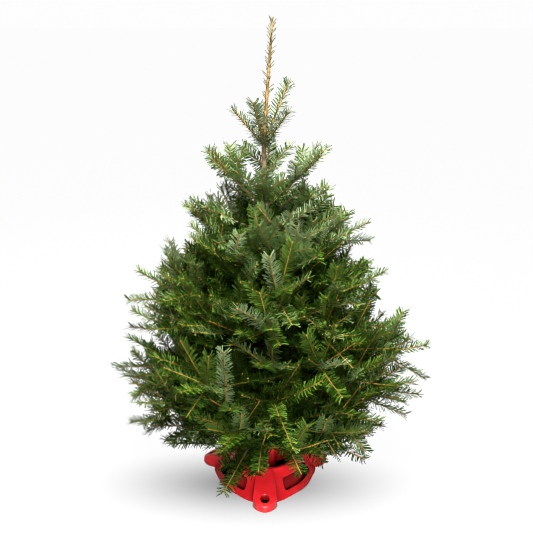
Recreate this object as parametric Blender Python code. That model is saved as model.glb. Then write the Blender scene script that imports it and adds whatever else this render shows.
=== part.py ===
"""A young cut fir, decked out with nothing but its own needles, in a moulded plastic stand.

The origin is the middle of the stand's flat underside, +Z is up and -Y is the front. Lengths are in
metres, and angles are in degrees. The tree grows by a seeded rule: tiers of boughs leave the trunk,
each bough ends in a mass of foliage, and a mass is one stem with twigs and sprays of needles.
"""

import math
import random
from collections import namedtuple

import bmesh
import bpy
from mathutils import Matrix, Vector
from mathutils.bvhtree import BVHTree

GAP = 0.0003  # between solids that touch on the real tree

# ---- The stand ----------------------------------------------------------------------------------
FOOT_COUNT = 3
TOE_CIRCLE = 0.200  # from the tree's axis to the middle of a foot's round toe
TOE_RADIUS = 0.0380
PEG_HOLE_CIRCLE = 0.2095
PEG_HOLE_RADIUS = 0.0140
COLLAR_RADIUS = 0.0178
COLLAR_LOW = 0.018  # a collar hangs round each peg hole, down to this height
SHELL = 0.0040  # the moulding's wall
# A foot's top, from the rim to the toe's edge: distance from the axis, height and half width.
RAMP = (
    (0.0900, 0.0797, 0.0270),
    (0.1055, 0.0790, 0.0280),
    (0.1300, 0.0690, 0.0310),
    (0.1550, 0.0580, 0.0335),
    (0.1800, 0.0465, 0.0360),
    (0.2000, 0.0370, 0.0380),
)
TOE_TOP = ((15, 0.0325), (30, 0.0282), (45, 0.0243), (60, 0.0210), (75, 0.0180), (86, 0.0165))  # turn, height
RING_RADIUS = 0.1545  # midway between two feet, on the floor
RING_BULGE = 0.0335  # how much wider the ring is at a foot
BULGE_POWER = 1.85
RIM_RADIUS = 0.1055
RIM_HEIGHT = 0.080
LIP_RADIUS = 0.0930  # the opening inside the rim's lip
LIP_DEPTH = 0.0035
SKIRT = 0.0030  # the wall that hangs from the lip's inner edge
SKIRT_LOW = 0.011
WINDOW_SPAN = (26.0, 94.0)  # from one foot's azimuth towards the next
WINDOW_LEVELS = (0.0185, 0.0520)
WINDOW_CORNER = 0.007
SOCKET_RADIUS = 0.0370
SOCKET_BORE = 0.0305
SOCKET_HEIGHT = 0.112
SOCKET_FLOOR = 0.010
BRACE_WIDTH = 0.022
BRACE_FOOT = 0.046
BRACE_TOP = 0.109  # at the socket
RING_STEPS = 36
PEG_STEPS = 16
SOCKET_STEPS = 20

# ---- The trunk ----------------------------------------------------------------------------------
TREE_TOP = 1.500
TOP_NODE = 1.120  # the last ring of side shoots, under the leader
TRUNK_RADII = ((0.0, 0.0275), (0.30, 0.0225), (0.62, 0.0165), (0.95, 0.0105), (1.12, 0.0066), (1.50, 0.0026))
LEADER_LEAN = 0.026
TRUNK_SWAY = 0.005
TRUNK_SIDES = 10
LIMB_SIDES = 5

# ---- The crown ----------------------------------------------------------------------------------
# Each tier: height on the trunk, boughs, azimuth of the first, how far out its lower and its higher
# boughs reach, rise of a bough at its root and at its tip, the share of it that is a bare limb, and its
# yearly whorls of twigs.
Tier = namedtuple("Tier", "height boughs first low_reach high_reach root_rise tip_rise bare years")
TIERS = (
    Tier(0.165, 4, 240, 0.235, 0.220, -2, -20, 0.00, 1),
    Tier(0.210, 6, 10, 0.380, 0.440, -2, -6, 0.22, 2),
    Tier(0.285, 6, 40, 0.505, 0.475, 5, 8, 0.24, 3),
    Tier(0.405, 6, 2, 0.495, 0.440, 11, 19, 0.00, 3),
    Tier(0.565, 6, 30, 0.405, 0.355, 17, 26, 0.00, 3),
    Tier(0.740, 6, 0, 0.305, 0.255, 24, 34, 0.00, 3),
    Tier(0.925, 6, 28, 0.215, 0.185, 36, 44, 0.00, 2),
    Tier(1.120, 5, 178, 0.088, 0.088, 56, 54, 0.00, 0),
)
UNEVEN_RISE = 6.0  # every other bough of a tier rises this much more, and the others this much less
AZIMUTH_JITTER = 5.0
REACH_JITTER = 0.06
RISE_JITTER = 3.0
PATH_STEPS = 16
SIDE_ANGLE = 52.0  # a side frond's angle to its stem
SIDE_SHARE = 0.78  # a side frond's length, as a share of the stem that is left beyond it
LONGEST_FROND = 0.265
SHORTEST_FROND = 0.062
FROND_SIZES = (1.0, 0.84, 0.7, 0.55)  # tried in turn until one is clear of the other nodes
ROOT_SUNK = 0.005  # how far a frond starts behind the middle of the stem that bears it
UPRIGHT_YEARS = 2  # years of a mass, from its root, with an upright frond
CLEARANCE = 0.0012  # kept between one node's foliage and its neighbours
# A core's stations: how far along its mass, and its half width, both in lengths of the mass.
CORE_SECTIONS = ((0.03, 0.03), (0.24, 0.20), (0.54, 0.15), (0.84, 0.03))
CORE_SIDES = 4
CORE_FLATNESS = 0.60
CORE_SIZES = (1.0, 0.8, 0.6, 0.4)
# A frond's half outline, from its root, in lengths of the frond: along it, out from its middle, and 1
# for the tip of a side spray. Its ridge is one point on each side of it.
FROND_OUTLINE = ((0.43, 0.265, 1), (0.41, 0.085, 0), (0.75, 0.200, 1), (0.71, 0.050, 0))
FROND_RIDGE = 0.38
FROND_THICKNESS = 0.0070


# ---- Materials ----------------------------------------------------------------------------------
def principled(name, colour, roughness, metallic=0.0):
    """A plain finish with this colour, roughness and metallic value."""
    material = bpy.data.materials.new(name)
    material.use_nodes = True
    shader = material.node_tree.nodes["Principled BSDF"]
    shader.inputs["Base Color"].default_value = (*colour, 1.0)
    shader.inputs["Roughness"].default_value = roughness
    shader.inputs["Metallic"].default_value = metallic
    return material


# ---- Meshes -------------------------------------------------------------------------------------
def mesh_of(name, points, faces):
    """A mesh with its normals made to point outwards."""
    mesh = bpy.data.meshes.new(name)
    mesh.from_pydata([tuple(p) for p in points], [], faces)
    shape = bmesh.new()
    shape.from_mesh(mesh)
    bmesh.ops.recalc_face_normals(shape, faces=shape.faces)
    shape.to_mesh(mesh)
    shape.free()
    return mesh


def add_object(name, mesh, material):
    """A visible object of the scene that holds this mesh."""
    thing = bpy.data.objects.new(name, mesh)
    bpy.context.scene.collection.objects.link(thing)
    if material:
        thing.data.materials.append(material)
    return thing


def combine(base, others, operation="UNION"):
    """Joins the others to the base, or cuts them out of it, with one Boolean, and removes them."""
    group = bpy.data.collections.new("operands")
    bpy.context.scene.collection.children.link(group)
    for other in others:
        group.objects.link(other)
    step = base.modifiers.new("combine", "BOOLEAN")
    step.operation = operation
    step.operand_type = "COLLECTION"
    step.collection = group
    step.solver = "MANIFOLD"
    graph = bpy.context.evaluated_depsgraph_get()
    made = bpy.data.meshes.new_from_object(base.evaluated_get(graph))
    base.modifiers.clear()
    base.data = made
    for other in others:
        bpy.data.objects.remove(other)
    bpy.data.collections.remove(group)
    return base


def shade(thing, angle):
    """Smooth shading, with edges sharper than this angle kept crisp."""
    thing.data.shade_smooth()
    thing.data.set_sharp_from_angle(angle=math.radians(angle))


def lathe(profile, steps):
    """Points and faces of a closed profile of (radius, height) turned about +Z. A radius of 0 is a pole."""
    points, rings = [], []
    for radius, height in profile:
        count = steps if radius > 0 else 1
        rings.append([len(points) + i for i in range(count)])
        for i in range(count):
            turn = 2 * math.pi * i / steps
            points.append((radius * math.cos(turn), radius * math.sin(turn), height))
    faces = []
    for lower, upper in zip(rings, rings[1:] + rings[:1]):
        for i in range(steps):
            corners = [lower[i % len(lower)], lower[(i + 1) % len(lower)]]
            corners += [upper[(i + 1) % len(upper)], upper[i % len(upper)]]
            corners = list(dict.fromkeys(corners))
            if len(corners) > 2:
                faces.append(corners)
    return points, faces


def loft(sections):
    """Points and faces of a closed solid through rings with the same number of points."""
    count = len(sections[0])
    points = [p for section in sections for p in section]
    faces = [list(range(count)), list(range(len(points) - count, len(points)))]
    for first in range(0, len(points) - count, count):
        for i in range(count):
            j = (i + 1) % count
            faces.append([first + i, first + j, first + count + j, first + count + i])
    return points, faces


# ---- The stand ----------------------------------------------------------------------------------
def foot_azimuth(index):
    """The first foot points to the front."""
    return -90.0 + index * 360.0 / FOOT_COUNT


def turned(points, azimuth):
    """The points turned about +Z, from the +X direction to this azimuth."""
    turn = Matrix.Rotation(math.radians(azimuth), 3, "Z")
    return [turn @ Vector(p) for p in points]


def ring_radius(azimuth, height):
    """The outside of the ring's sloping wall, which is fuller on the floor towards the feet."""
    from_foot = (1 + math.cos(math.radians((azimuth + 90) * FOOT_COUNT))) / 2
    floor = RING_RADIUS + RING_BULGE * from_foot**BULGE_POWER
    return floor + (RIM_RADIUS - floor) * height / RIM_HEIGHT


def ring_solid(name, levels):
    """A solid round the axis through rings of (height to place it, wall offset or fixed radius, height)."""
    sections = []
    for wall_height, inset, fixed, height in levels:
        ring = []
        for step in range(RING_STEPS):
            azimuth = 360.0 * step / RING_STEPS + 90.0
            radius = fixed if fixed else ring_radius(azimuth, wall_height) - inset
            turn = math.radians(azimuth)
            ring.append((radius * math.cos(turn), radius * math.sin(turn), height))
        sections.append(ring)
    return mesh_of(name, *loft(sections))


def upright_rectangle(x, half_width, floor, top):
    """Four corners across the +X direction."""
    return [(x, -half_width, floor), (x, half_width, floor), (x, half_width, top), (x, -half_width, top)]


def foot_sections(inset, floor):
    """Sections of a foot along +X: a ramp down from the rim, then a round toe that slopes down more."""
    stations = [(x, height - inset, half - inset) for x, height, half in RAMP]
    for turn, height in TOE_TOP:
        turn = math.radians(turn)
        reach = TOE_RADIUS - inset
        stations.append((TOE_CIRCLE + reach * math.sin(turn), height - inset, reach * math.cos(turn)))
    return [upright_rectangle(x, half, floor, top) for x, top, half in stations]


def window_cutter(foot):
    """A curved block that cuts one long window with round corners out of the ring's wall."""
    start, end = (foot_azimuth(foot) + turn for turn in WINDOW_SPAN)
    low, high = WINDOW_LEVELS
    corner_turn = math.degrees(WINDOW_CORNER / ((RING_RADIUS + RIM_RADIUS) / 2))
    eased = []
    for turn in (0, 30, 60, 90):
        turn = math.radians(turn)
        eased.append((corner_turn * (1 - math.cos(turn)), WINDOW_CORNER * (1 - math.sin(turn))))
    columns = [(start + turn, drop) for turn, drop in eased]
    span = end - start - 2 * corner_turn
    columns += [(start + corner_turn + span * i / 8, 0.0) for i in range(1, 8)]
    columns += [(end - turn, drop) for turn, drop in reversed(eased)]
    sections = []
    for azimuth, drop in columns:
        across = Vector((math.cos(math.radians(azimuth)), math.sin(math.radians(azimuth)), 0))
        near, far = across * 0.070, across * 0.200
        bottom, top = Vector((0, 0, low + drop)), Vector((0, 0, high - drop))
        sections.append([near + bottom, far + bottom, far + top, near + top])
    return mesh_of("window", *loft(sections))


def brace_block(inner, outer, half_width, floor, lift):
    """A block along +X between two radii. Its top slopes down from the socket to the rim."""
    sections = []
    for x in (inner, outer):
        share = (x - SOCKET_BORE) / (RIM_RADIUS - SOCKET_BORE)
        top = BRACE_TOP + (RIM_HEIGHT - LIP_DEPTH - BRACE_TOP) * share + lift
        sections.append(upright_rectangle(x, half_width, floor, top))
    return loft(sections)


def make_stand(material):
    """One moulding: a conical ring with three windows, three feet with peg holes, a socket and its braces."""
    stand = add_object("stand", ring_solid("ring", ((0, 0, 0, 0), (RIM_HEIGHT, 0, 0, RIM_HEIGHT))), material)
    azimuths = [foot_azimuth(i) for i in range(FOOT_COUNT)]
    below, above = -0.020, 0.020

    def turned_part(name, shape, azimuth):
        points, faces = shape
        return add_object(name, mesh_of(name, turned(points, azimuth), faces), None)

    def peg_cylinder(name, radius, low, azimuth):
        points, faces = lathe([(0, low), (radius, low), (radius, RIM_HEIGHT), (0, RIM_HEIGHT)], PEG_STEPS)
        return turned_part(name, ([(x + PEG_HOLE_CIRCLE, y, z) for x, y, z in points], faces), azimuth)

    combine(stand, [turned_part("foot", loft(foot_sections(0.0, 0.0)), a) for a in azimuths])
    under_lip = RIM_HEIGHT - LIP_DEPTH
    levels = (
        (0, SHELL, 0, below),
        (0, SHELL, 0, 0),
        (under_lip, SHELL, 0, under_lip),
        (0, 0, LIP_RADIUS, under_lip),
        (0, 0, LIP_RADIUS, RIM_HEIGHT + above),
    )
    combine(stand, [add_object("hollow", ring_solid("hollow", levels), None)], "DIFFERENCE")
    cavities = []
    for azimuth in azimuths:
        cavity = turned_part("cavity", loft(foot_sections(SHELL, below)[1:]), azimuth)
        collar = peg_cylinder("collar", COLLAR_RADIUS, COLLAR_LOW, azimuth)
        cavities.append(combine(cavity, [collar], "DIFFERENCE"))
    combine(stand, cavities, "DIFFERENCE")
    combine(stand, [add_object("window", window_cutter(i), None) for i in range(FOOT_COUNT)], "DIFFERENCE")
    combine(stand, [peg_cylinder("hole", PEG_HOLE_RADIUS, below, a) for a in azimuths], "DIFFERENCE")

    skirt_top = RIM_HEIGHT - LIP_DEPTH / 2
    skirt_profile = [(LIP_RADIUS, SKIRT_LOW), (LIP_RADIUS + SKIRT, SKIRT_LOW)]
    skirt_profile += [(LIP_RADIUS + SKIRT, skirt_top), (LIP_RADIUS, skirt_top)]
    combine(stand, [add_object("skirt", mesh_of("skirt", *lathe(skirt_profile, RING_STEPS)), None)])

    socket_profile = [(0, 0), (SOCKET_RADIUS, 0), (SOCKET_RADIUS, SOCKET_HEIGHT)]
    socket_profile += [(SOCKET_BORE, SOCKET_HEIGHT), (SOCKET_BORE, SOCKET_FLOOR), (0, SOCKET_FLOOR)]
    fittings = [add_object("socket", mesh_of("socket", *lathe(socket_profile, SOCKET_STEPS)), None)]
    for azimuth in azimuths:
        half = BRACE_WIDTH / 2
        block = brace_block(SOCKET_BORE + 0.003, RIM_RADIUS + 0.0015, half, BRACE_FOOT, 0.0)
        channel = brace_block(SOCKET_RADIUS, LIP_RADIUS - GAP, half - SHELL, BRACE_FOOT + SHELL, above)
        brace = turned_part("brace", block, azimuth)
        fittings.append(combine(brace, [turned_part("channel", channel, azimuth)], "DIFFERENCE"))
    combine(stand, fittings)
    shade(stand, 28)
    return stand


# ---- The trunk and the limbs --------------------------------------------------------------------
def trunk_axis(height):
    """The middle of the trunk: a slight sway, then a leader that leans to the right."""
    share = max(0.0, (height - TOP_NODE) / (TREE_TOP - TOP_NODE))
    sway = TRUNK_SWAY * math.sin(math.pi * min(height, TOP_NODE) / TOP_NODE * 1.2)
    return Vector((sway + LEADER_LEAN * share**1.15, 0.0, height))


def trunk_radius(height):
    """The trunk's radius, read from its driving radii."""
    for (low, low_radius), (high, high_radius) in zip(TRUNK_RADII, TRUNK_RADII[1:]):
        if height <= high:
            share = (height - low) / (high - low)
            return low_radius + (high_radius - low_radius) * share
    return TRUNK_RADII[-1][1]


def tube(points, radii, sides, first_normal=None):
    """Points and faces of a tapering tube through points, with flat ends. The first cut can be turned."""
    sections = []
    side = Vector((0, 0, 1)).cross(points[1] - points[0])
    side = side.normalized() if side.length > 1e-6 else Vector((1, 0, 0))
    for i, (point, radius) in enumerate(zip(points, radii)):
        ahead = (points[min(i + 1, len(points) - 1)] - points[max(i - 1, 0)]).normalized()
        side = (side - ahead * side.dot(ahead)).normalized()
        up = ahead.cross(side)
        turns = [2 * math.pi * (corner + 0.5) / sides for corner in range(sides)]
        ring = [point + (side * math.cos(turn) + up * math.sin(turn)) * radius for turn in turns]
        if i == 0 and first_normal is not None:
            ring = [p - ahead * ((p - point).dot(first_normal) / ahead.dot(first_normal)) for p in ring]
        sections.append(ring)
    return loft(sections)


def make_trunk(material):
    """The trunk, from the flat cut in the socket to the leader's tip."""
    levels = [SOCKET_FLOOR + GAP, 0.30, 0.62, 0.95, TOP_NODE, 1.25, 1.38, 1.485, TREE_TOP]
    axis = [trunk_axis(z) for z in levels]
    radii = [trunk_radius(z) for z in levels]
    radii[-1] = 0.0010
    shape = tube(axis, radii, TRUNK_SIDES, Vector((0, 0, 1)))
    trunk = add_object("trunk", mesh_of("trunk", *shape), material)
    shade(trunk, 50)
    return trunk


def bough_path(tier, index, chance):
    """Where one bough of a tier runs, from the trunk's axis to its tip."""
    azimuth = tier.first + 360.0 * index / tier.boughs + chance.uniform(-AZIMUTH_JITTER, AZIMUTH_JITTER)
    reach = tier.high_reach if index % 2 else tier.low_reach
    reach *= 1 + chance.uniform(-REACH_JITTER, REACH_JITTER)
    lift = chance.uniform(-RISE_JITTER, RISE_JITTER) + (UNEVEN_RISE if index % 2 else -UNEVEN_RISE)
    out = Vector((math.cos(math.radians(azimuth)), math.sin(math.radians(azimuth)), 0))
    point = trunk_axis(tier.height)
    path = [point]
    for step in range(PATH_STEPS):
        share = (step + 0.5) / PATH_STEPS
        rise = math.radians(tier.root_rise + lift + (tier.tip_rise - tier.root_rise) * share)
        point = point + (out + Vector((0, 0, math.tan(rise)))) * (reach / PATH_STEPS)
        path.append(point)
    return path, out


def along(path, share):
    """The point and the direction at a share of the path's steps."""
    place = min(max(share, 0.0), 0.9999) * (len(path) - 1)
    step = int(place)
    direction = (path[step + 1] - path[step]).normalized()
    return path[step].lerp(path[step + 1], place - step), direction


def trunk_exit(tree, path, out, radius):
    """The share of the path at which a stem with this radius and an upright cut is clear of the trunk."""
    across = Vector((-out.y, out.x, 0))
    length = (path[-1] - path[0]).dot(out)
    point, ahead = along(path, 0.05)
    furthest = 0.0
    for side in (i / 5 for i in range(-5, 6)):
        for up in (-1, 0, 1):
            lift = Vector((0, 0, up * radius / max(ahead.dot(out), 0.3)))
            start = point + across * side * radius + lift
            hit = tree.ray_cast(start + out * 0.2, -out)[0]
            if hit is not None:
                furthest = max(furthest, (hit - path[0]).dot(out))
    return (furthest + GAP) / length


# ---- Foliage ------------------------------------------------------------------------------------
# One mass: its node, its bough's path, the share of the path at which it starts, its yearly whorls, its
# own random numbers and, where it meets the trunk, the direction that its first cut faces.
Plan = namedtuple("Plan", "name path start years chance first_cut")


def frame_of(ahead, up):
    """A right-handed frame with its X axis ahead and its Z axis as near to up as it goes."""
    ahead = ahead.normalized()
    side = up.cross(ahead).normalized()
    return ahead, side, ahead.cross(side)


def frond_shape(root, ahead, up, length, lifts, grow=0.0):
    """A flat frond with side sprays for teeth, thickest at its ridge and thin at its edge.

    Its side sprays' tips are lifted by these shares of its length. To leave room, it can grow a little
    all round.
    """
    ahead, side, normal = frame_of(ahead, up)
    half = [(-ROOT_SUNK - grow, 0.0045 + grow, 0.0)]
    for (x, y, is_tip), lift in zip(FROND_OUTLINE, lifts):
        half.append((x * length, y * length + grow, lift * length * is_tip))
    outline = half + [(length + grow * 2, 0.0, 0.0)] + [(x, -y, z) for x, y, z in reversed(half)]
    count = len(outline)
    points = [root + ahead * x + side * y + normal * z for x, y, z in outline]
    for hand in (1, -1):
        thickness = hand * (FROND_THICKNESS / 2 + grow)
        points.append(root + ahead * FROND_RIDGE * length + normal * thickness)
    faces = [(i, (i + 1) % count, ridge) for ridge in (count, count + 1) for i in range(count)]
    return points, faces


class Space:
    """The room that is taken: the solids placed so far, by node, for testing new pieces against."""

    def __init__(self):
        self.taken = []

    def add(self, node, shape):
        points, faces = shape
        lows = [min(p[i] for p in points) for i in range(3)]
        highs = [max(p[i] for p in points) for i in range(3)]
        self.taken.append((node, lows, highs, BVHTree.FromPolygons([tuple(p) for p in points], faces)))

    def is_free(self, node, shape):
        """True if the shape touches no solid of another node."""
        points, faces = shape
        lows = [min(p[i] for p in points) for i in range(3)]
        highs = [max(p[i] for p in points) for i in range(3)]
        tree = BVHTree.FromPolygons([tuple(p) for p in points], faces)
        for other, other_lows, other_highs, other_tree in self.taken:
            if other == node:
                continue
            if any(lows[i] > other_highs[i] or highs[i] < other_lows[i] for i in range(3)):
                continue
            if tree.overlap(other_tree):
                return False
        return True


def mesh_shape(mesh):
    """The points and faces of a mesh."""
    return [v.co.copy() for v in mesh.vertices], [list(f.vertices) for f in mesh.polygons]


def grow_frond(pieces, space, node, root, ahead, up, length, chance):
    """Adds a frond to a mass, shorter if another node is in its way, and not at all if it can't be helped."""
    lifts = [chance.uniform(-0.05, 0.07) for _ in FROND_OUTLINE]
    for size in FROND_SIZES:
        longest = length * size
        if longest < SHORTEST_FROND:
            return
        if space.is_free(node, frond_shape(root, ahead, up, longest, lifts, CLEARANCE)):
            pieces.append(frond_shape(root, ahead, up, longest, lifts))
            return


def core_shape(path, start, size, grow=0.0):
    """The dense heart of a mass: a flat spindle round its stem, whose width goes by this size."""
    mass_length = (path[-1] - path[0]).length * (1 - start)
    points, faces = [], []
    for share, width in CORE_SECTIONS:
        middle, ahead = along(path, start + (1 - start) * share)
        _, side, normal = frame_of(ahead, Vector((0, 0, 1)))
        for corner in range(CORE_SIDES):
            turn = 2 * math.pi * (corner + 0.5) / CORE_SIDES
            across = side * math.cos(turn) + normal * math.sin(turn) * CORE_FLATNESS
            points.append(middle + across * (mass_length * width * size + grow))
    for i in range(CORE_SIDES):
        j = (i + 1) % CORE_SIDES
        for first in range(0, len(points) - CORE_SIDES, CORE_SIDES):
            faces.append((first + i, first + j, first + CORE_SIDES + j, first + CORE_SIDES + i))
    faces += [tuple(range(CORE_SIDES)), tuple(range(len(points) - CORE_SIDES, len(points)))]
    return points, faces


def mass_heart(space, plan):
    """A mass's stem, and its core if it has one. They take their room before any frond grows."""
    length = (plan.path[-1] - plan.path[0]).length
    left = length * (1 - plan.start)
    radius = 0.0022 + 0.011 * left
    core = None
    for size in CORE_SIZES:
        if plan.years > 1 and space.is_free(plan.name, core_shape(plan.path, plan.start, size, CLEARANCE)):
            core = core_shape(plan.path, plan.start, size)
            break
    reach = 0.22 if core else 0.75
    ends = [along(plan.path, plan.start)[0], along(plan.path, plan.start + (1 - plan.start) * reach)[0]]
    pieces = [tube(ends, [radius, radius * 0.5], 4, plan.first_cut)]
    if core:
        pieces.append(core)
    for shape in pieces:
        space.add(plan.name, shape)
    return pieces


def grow_fronds(space, plan):
    """A mass's fronds: one at its end, then two at its sides a year and an upright one in its first years."""
    path, start, chance = plan.path, plan.start, plan.chance
    length = (path[-1] - path[0]).length
    pieces = []
    tip, ahead = along(path, 1.0)
    end_length = min(LONGEST_FROND * 0.8, length * (1 - start) * 0.9)
    end_root = tip - ahead * end_length
    grow_frond(pieces, space, plan.name, end_root, ahead, Vector((0, 0, 1)), end_length, chance)
    for year in range(plan.years):
        share = start + (1 - start) * (0.07 + 0.75 * (year + 0.35) / plan.years)
        root, ahead = along(path, share)
        _, side, normal = frame_of(ahead, Vector((0, 0, 1)))
        rest = min(max(length * (1 - share) * SIDE_SHARE, SHORTEST_FROND * 1.3), LONGEST_FROND)
        for hand in (-1, 1):
            turn = math.radians(SIDE_ANGLE + chance.uniform(-5, 5))
            lean = chance.uniform(-0.25, 0.35)
            direction = ahead * math.cos(turn) + side * hand * math.sin(turn) + normal * lean
            size = rest * chance.uniform(0.92, 1.08)
            grow_frond(pieces, space, plan.name, root, direction, normal, size, chance)
        if year < UPRIGHT_YEARS:
            hand = 1 if year % 2 == 0 else -1
            turn = math.radians(chance.uniform(36, 50))
            direction = ahead * math.cos(turn) + normal * hand * math.sin(turn)
            direction += side * chance.uniform(-0.35, 0.35)
            roll = normal + side * chance.uniform(-0.7, 0.7)
            size = rest * chance.uniform(0.78, 0.92)
            grow_frond(pieces, space, plan.name, root, direction, roll, size, chance)
    for shape in pieces:
        space.add(plan.name, shape)
    return pieces


def keep_largest_body(mesh):
    """Drops every loose piece and closed pocket, so that one body is left."""
    shape = bmesh.new()
    shape.from_mesh(mesh)
    unseen, bodies = set(shape.verts), []
    while unseen:
        body, edge = set(), [unseen.pop()]
        while edge:
            corner = edge.pop()
            body.add(corner)
            near = {e.other_vert(corner) for e in corner.link_edges} & unseen
            unseen -= near
            edge.extend(near)
        bodies.append(body)
    largest = max(bodies, key=len)
    bmesh.ops.delete(shape, geom=[v for body in bodies if body is not largest for v in body], context="VERTS")
    shape.to_mesh(mesh)
    shape.free()


def join_mass(name, pieces, material):
    """One closed solid of a mass's pieces."""
    things = [add_object(name, mesh_of(name, *shape), None) for shape in pieces]
    combine(things[0], things[1:])
    keep_largest_body(things[0].data)
    things[0].data.materials.clear()
    things[0].data.materials.append(material)


def make_crown(trunk, stand, bark, needles):
    """All boughs, then all masses, from the lowest tier to the top."""
    space = Space()
    space.add("trunk", mesh_shape(trunk.data))
    space.add("stand", mesh_shape(stand.data))
    trunk_tree = BVHTree.FromPolygons(*mesh_shape(trunk.data))
    plans = []
    for number, tier in enumerate(TIERS, 1):
        for index in range(tier.boughs):
            chance = random.Random(f"tier {number} bough {index}")
            path, out = bough_path(tier, index, chance)
            length = (path[-1] - path[0]).length
            root_radius = min(0.0026 + 0.016 * length, trunk_radius(tier.height) * 0.62)
            start, first_cut = trunk_exit(trunk_tree, path, out, root_radius), out
            if tier.bare:
                name = f"tier{number}_bough_{index + 1}"
                shares = [start + (tier.bare - start) * i / 3 for i in range(4)]
                tip_radius = 0.0028 + 0.011 * length * (1 - tier.bare)
                radii = [root_radius + (tip_radius - root_radius) * i / 3 for i in range(4)]
                limb = mesh_of(name, *tube([along(path, s)[0] for s in shares], radii, LIMB_SIDES, out))
                shade(add_object(name, limb, bark), 50)
                space.add(name, mesh_shape(limb))
                start, first_cut = tier.bare + GAP * 1.2 / length, None
            name = f"tier{number}_foliage_{index + 1}"
            plans.append(Plan(name, path, start, tier.years, chance, first_cut))
    hearts = [mass_heart(space, plan) for plan in plans]
    for plan, heart in zip(plans, hearts):
        join_mass(plan.name, heart + grow_fronds(space, plan), needles)


def main():
    for thing in list(bpy.data.objects):
        bpy.data.objects.remove(thing)
    bark = principled("bark", (0.16, 0.095, 0.055), 0.85)
    needles = principled("needles", (0.045, 0.110, 0.040), 0.55)
    red_plastic = principled("red plastic", (0.72, 0.018, 0.024), 0.38)
    stand = make_stand(red_plastic)
    trunk = make_trunk(bark)
    make_crown(trunk, stand, bark, needles)


main()
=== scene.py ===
"""The looks of a young cut fir in a red moulded stand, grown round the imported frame.

The boughs follow the same seeded rule as the solids. Each solid mass of foliage gives way to shoots that
branch year by year inside the crown's edge, and Geometry Nodes set the needles, bark and buds along them.
Lengths are in metres and angles in degrees. +Z is up and -Y is the front.
"""

import math
import random
from collections import namedtuple

import bmesh
import bpy
from mathutils import Matrix, Vector, noise

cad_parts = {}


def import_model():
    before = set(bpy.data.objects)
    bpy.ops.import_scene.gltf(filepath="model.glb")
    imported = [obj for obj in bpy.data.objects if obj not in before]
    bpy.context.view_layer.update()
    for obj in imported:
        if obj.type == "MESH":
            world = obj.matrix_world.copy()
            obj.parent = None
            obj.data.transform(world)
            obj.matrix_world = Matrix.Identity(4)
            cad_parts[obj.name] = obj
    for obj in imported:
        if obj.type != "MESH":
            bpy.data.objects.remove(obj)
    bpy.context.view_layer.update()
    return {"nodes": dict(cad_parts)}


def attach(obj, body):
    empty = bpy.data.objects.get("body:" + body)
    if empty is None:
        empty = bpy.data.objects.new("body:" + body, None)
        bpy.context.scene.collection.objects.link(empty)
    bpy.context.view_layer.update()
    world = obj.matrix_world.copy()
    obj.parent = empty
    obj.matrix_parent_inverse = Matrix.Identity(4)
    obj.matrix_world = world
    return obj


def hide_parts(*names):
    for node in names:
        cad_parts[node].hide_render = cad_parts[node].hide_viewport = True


UP = Vector((0, 0, 1))

# ---- The skeleton, as in the solids -------------------------------------------------------------
TREE_TOP = 1.500
TOP_NODE = 1.120
# By height, the radius of the trunk.
TRUNK_RADII = (
    (0.0, 0.0275),
    (0.30, 0.0225),
    (0.62, 0.0165),
    (0.95, 0.0105),
    (1.12, 0.0066),
    (1.50, 0.0026),
)
LEADER_LEAN = 0.026
LEADER_BEND = 1.15  # above 1, the leader leans more towards its tip
TRUNK_SWAY = 0.005
SWAY_WAVES = 1.2  # half waves up to the highest node
SOCKET_FLOOR = 0.010
GAP = 0.0003
# Each tier: height on the trunk, boughs, azimuth of the first, how far out the tips of its lower and of
# its higher boughs reach, rise of a bough at its root and at its tip, bare share, and age in years.
Tier = namedtuple("Tier", "height boughs first low_reach high_reach root_rise tip_rise bare years")
TIERS = (
    Tier(0.165, 4, 240, 0.235, 0.220, -2, -20, 0.30, 2),
    Tier(0.210, 6, 10, 0.380, 0.440, -2, -6, 0.34, 2),
    Tier(0.285, 6, 40, 0.505, 0.475, 5, 8, 0.36, 2),
    Tier(0.405, 6, 2, 0.495, 0.440, 11, 19, 0.34, 2),
    Tier(0.565, 6, 30, 0.405, 0.355, 17, 26, 0.28, 2),
    Tier(0.740, 6, 0, 0.305, 0.255, 24, 34, 0.22, 2),
    Tier(0.925, 6, 28, 0.215, 0.185, 36, 44, 0.14, 2),
    Tier(1.120, 5, 178, 0.088, 0.088, 56, 54, 0.00, 1),
)
UNEVEN_RISE = 6.0  # how much steeper every second bough rises, and the others less
AZIMUTH_JITTER = 5.0
REACH_JITTER = 0.06
RISE_JITTER = 3.0
PATH_STEPS = 16
OLD_SHARE = 0.56  # the share of a bough that is old wood
OLD_DETAIL = 3  # how many steps the bark of old wood has for each point of its path
SHOOT_STEPS = 3  # in one year's growth of a bough

# ---- The stand, as in the solids ----------------------------------------------------------------
FOOT_COUNT = 3
FIRST_FOOT = -90.0  # its azimuth: it points to the front
TOE_RADIUS = 0.0380
PEG_HOLE_CIRCLE = 0.2095
PEG_HOLE_RADIUS = 0.0140
COLLAR_RADIUS = 0.0178
COLLAR_LOW = 0.018  # a collar hangs round each peg hole, down to this height
SHELL = 0.0040  # the moulding's wall
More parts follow.
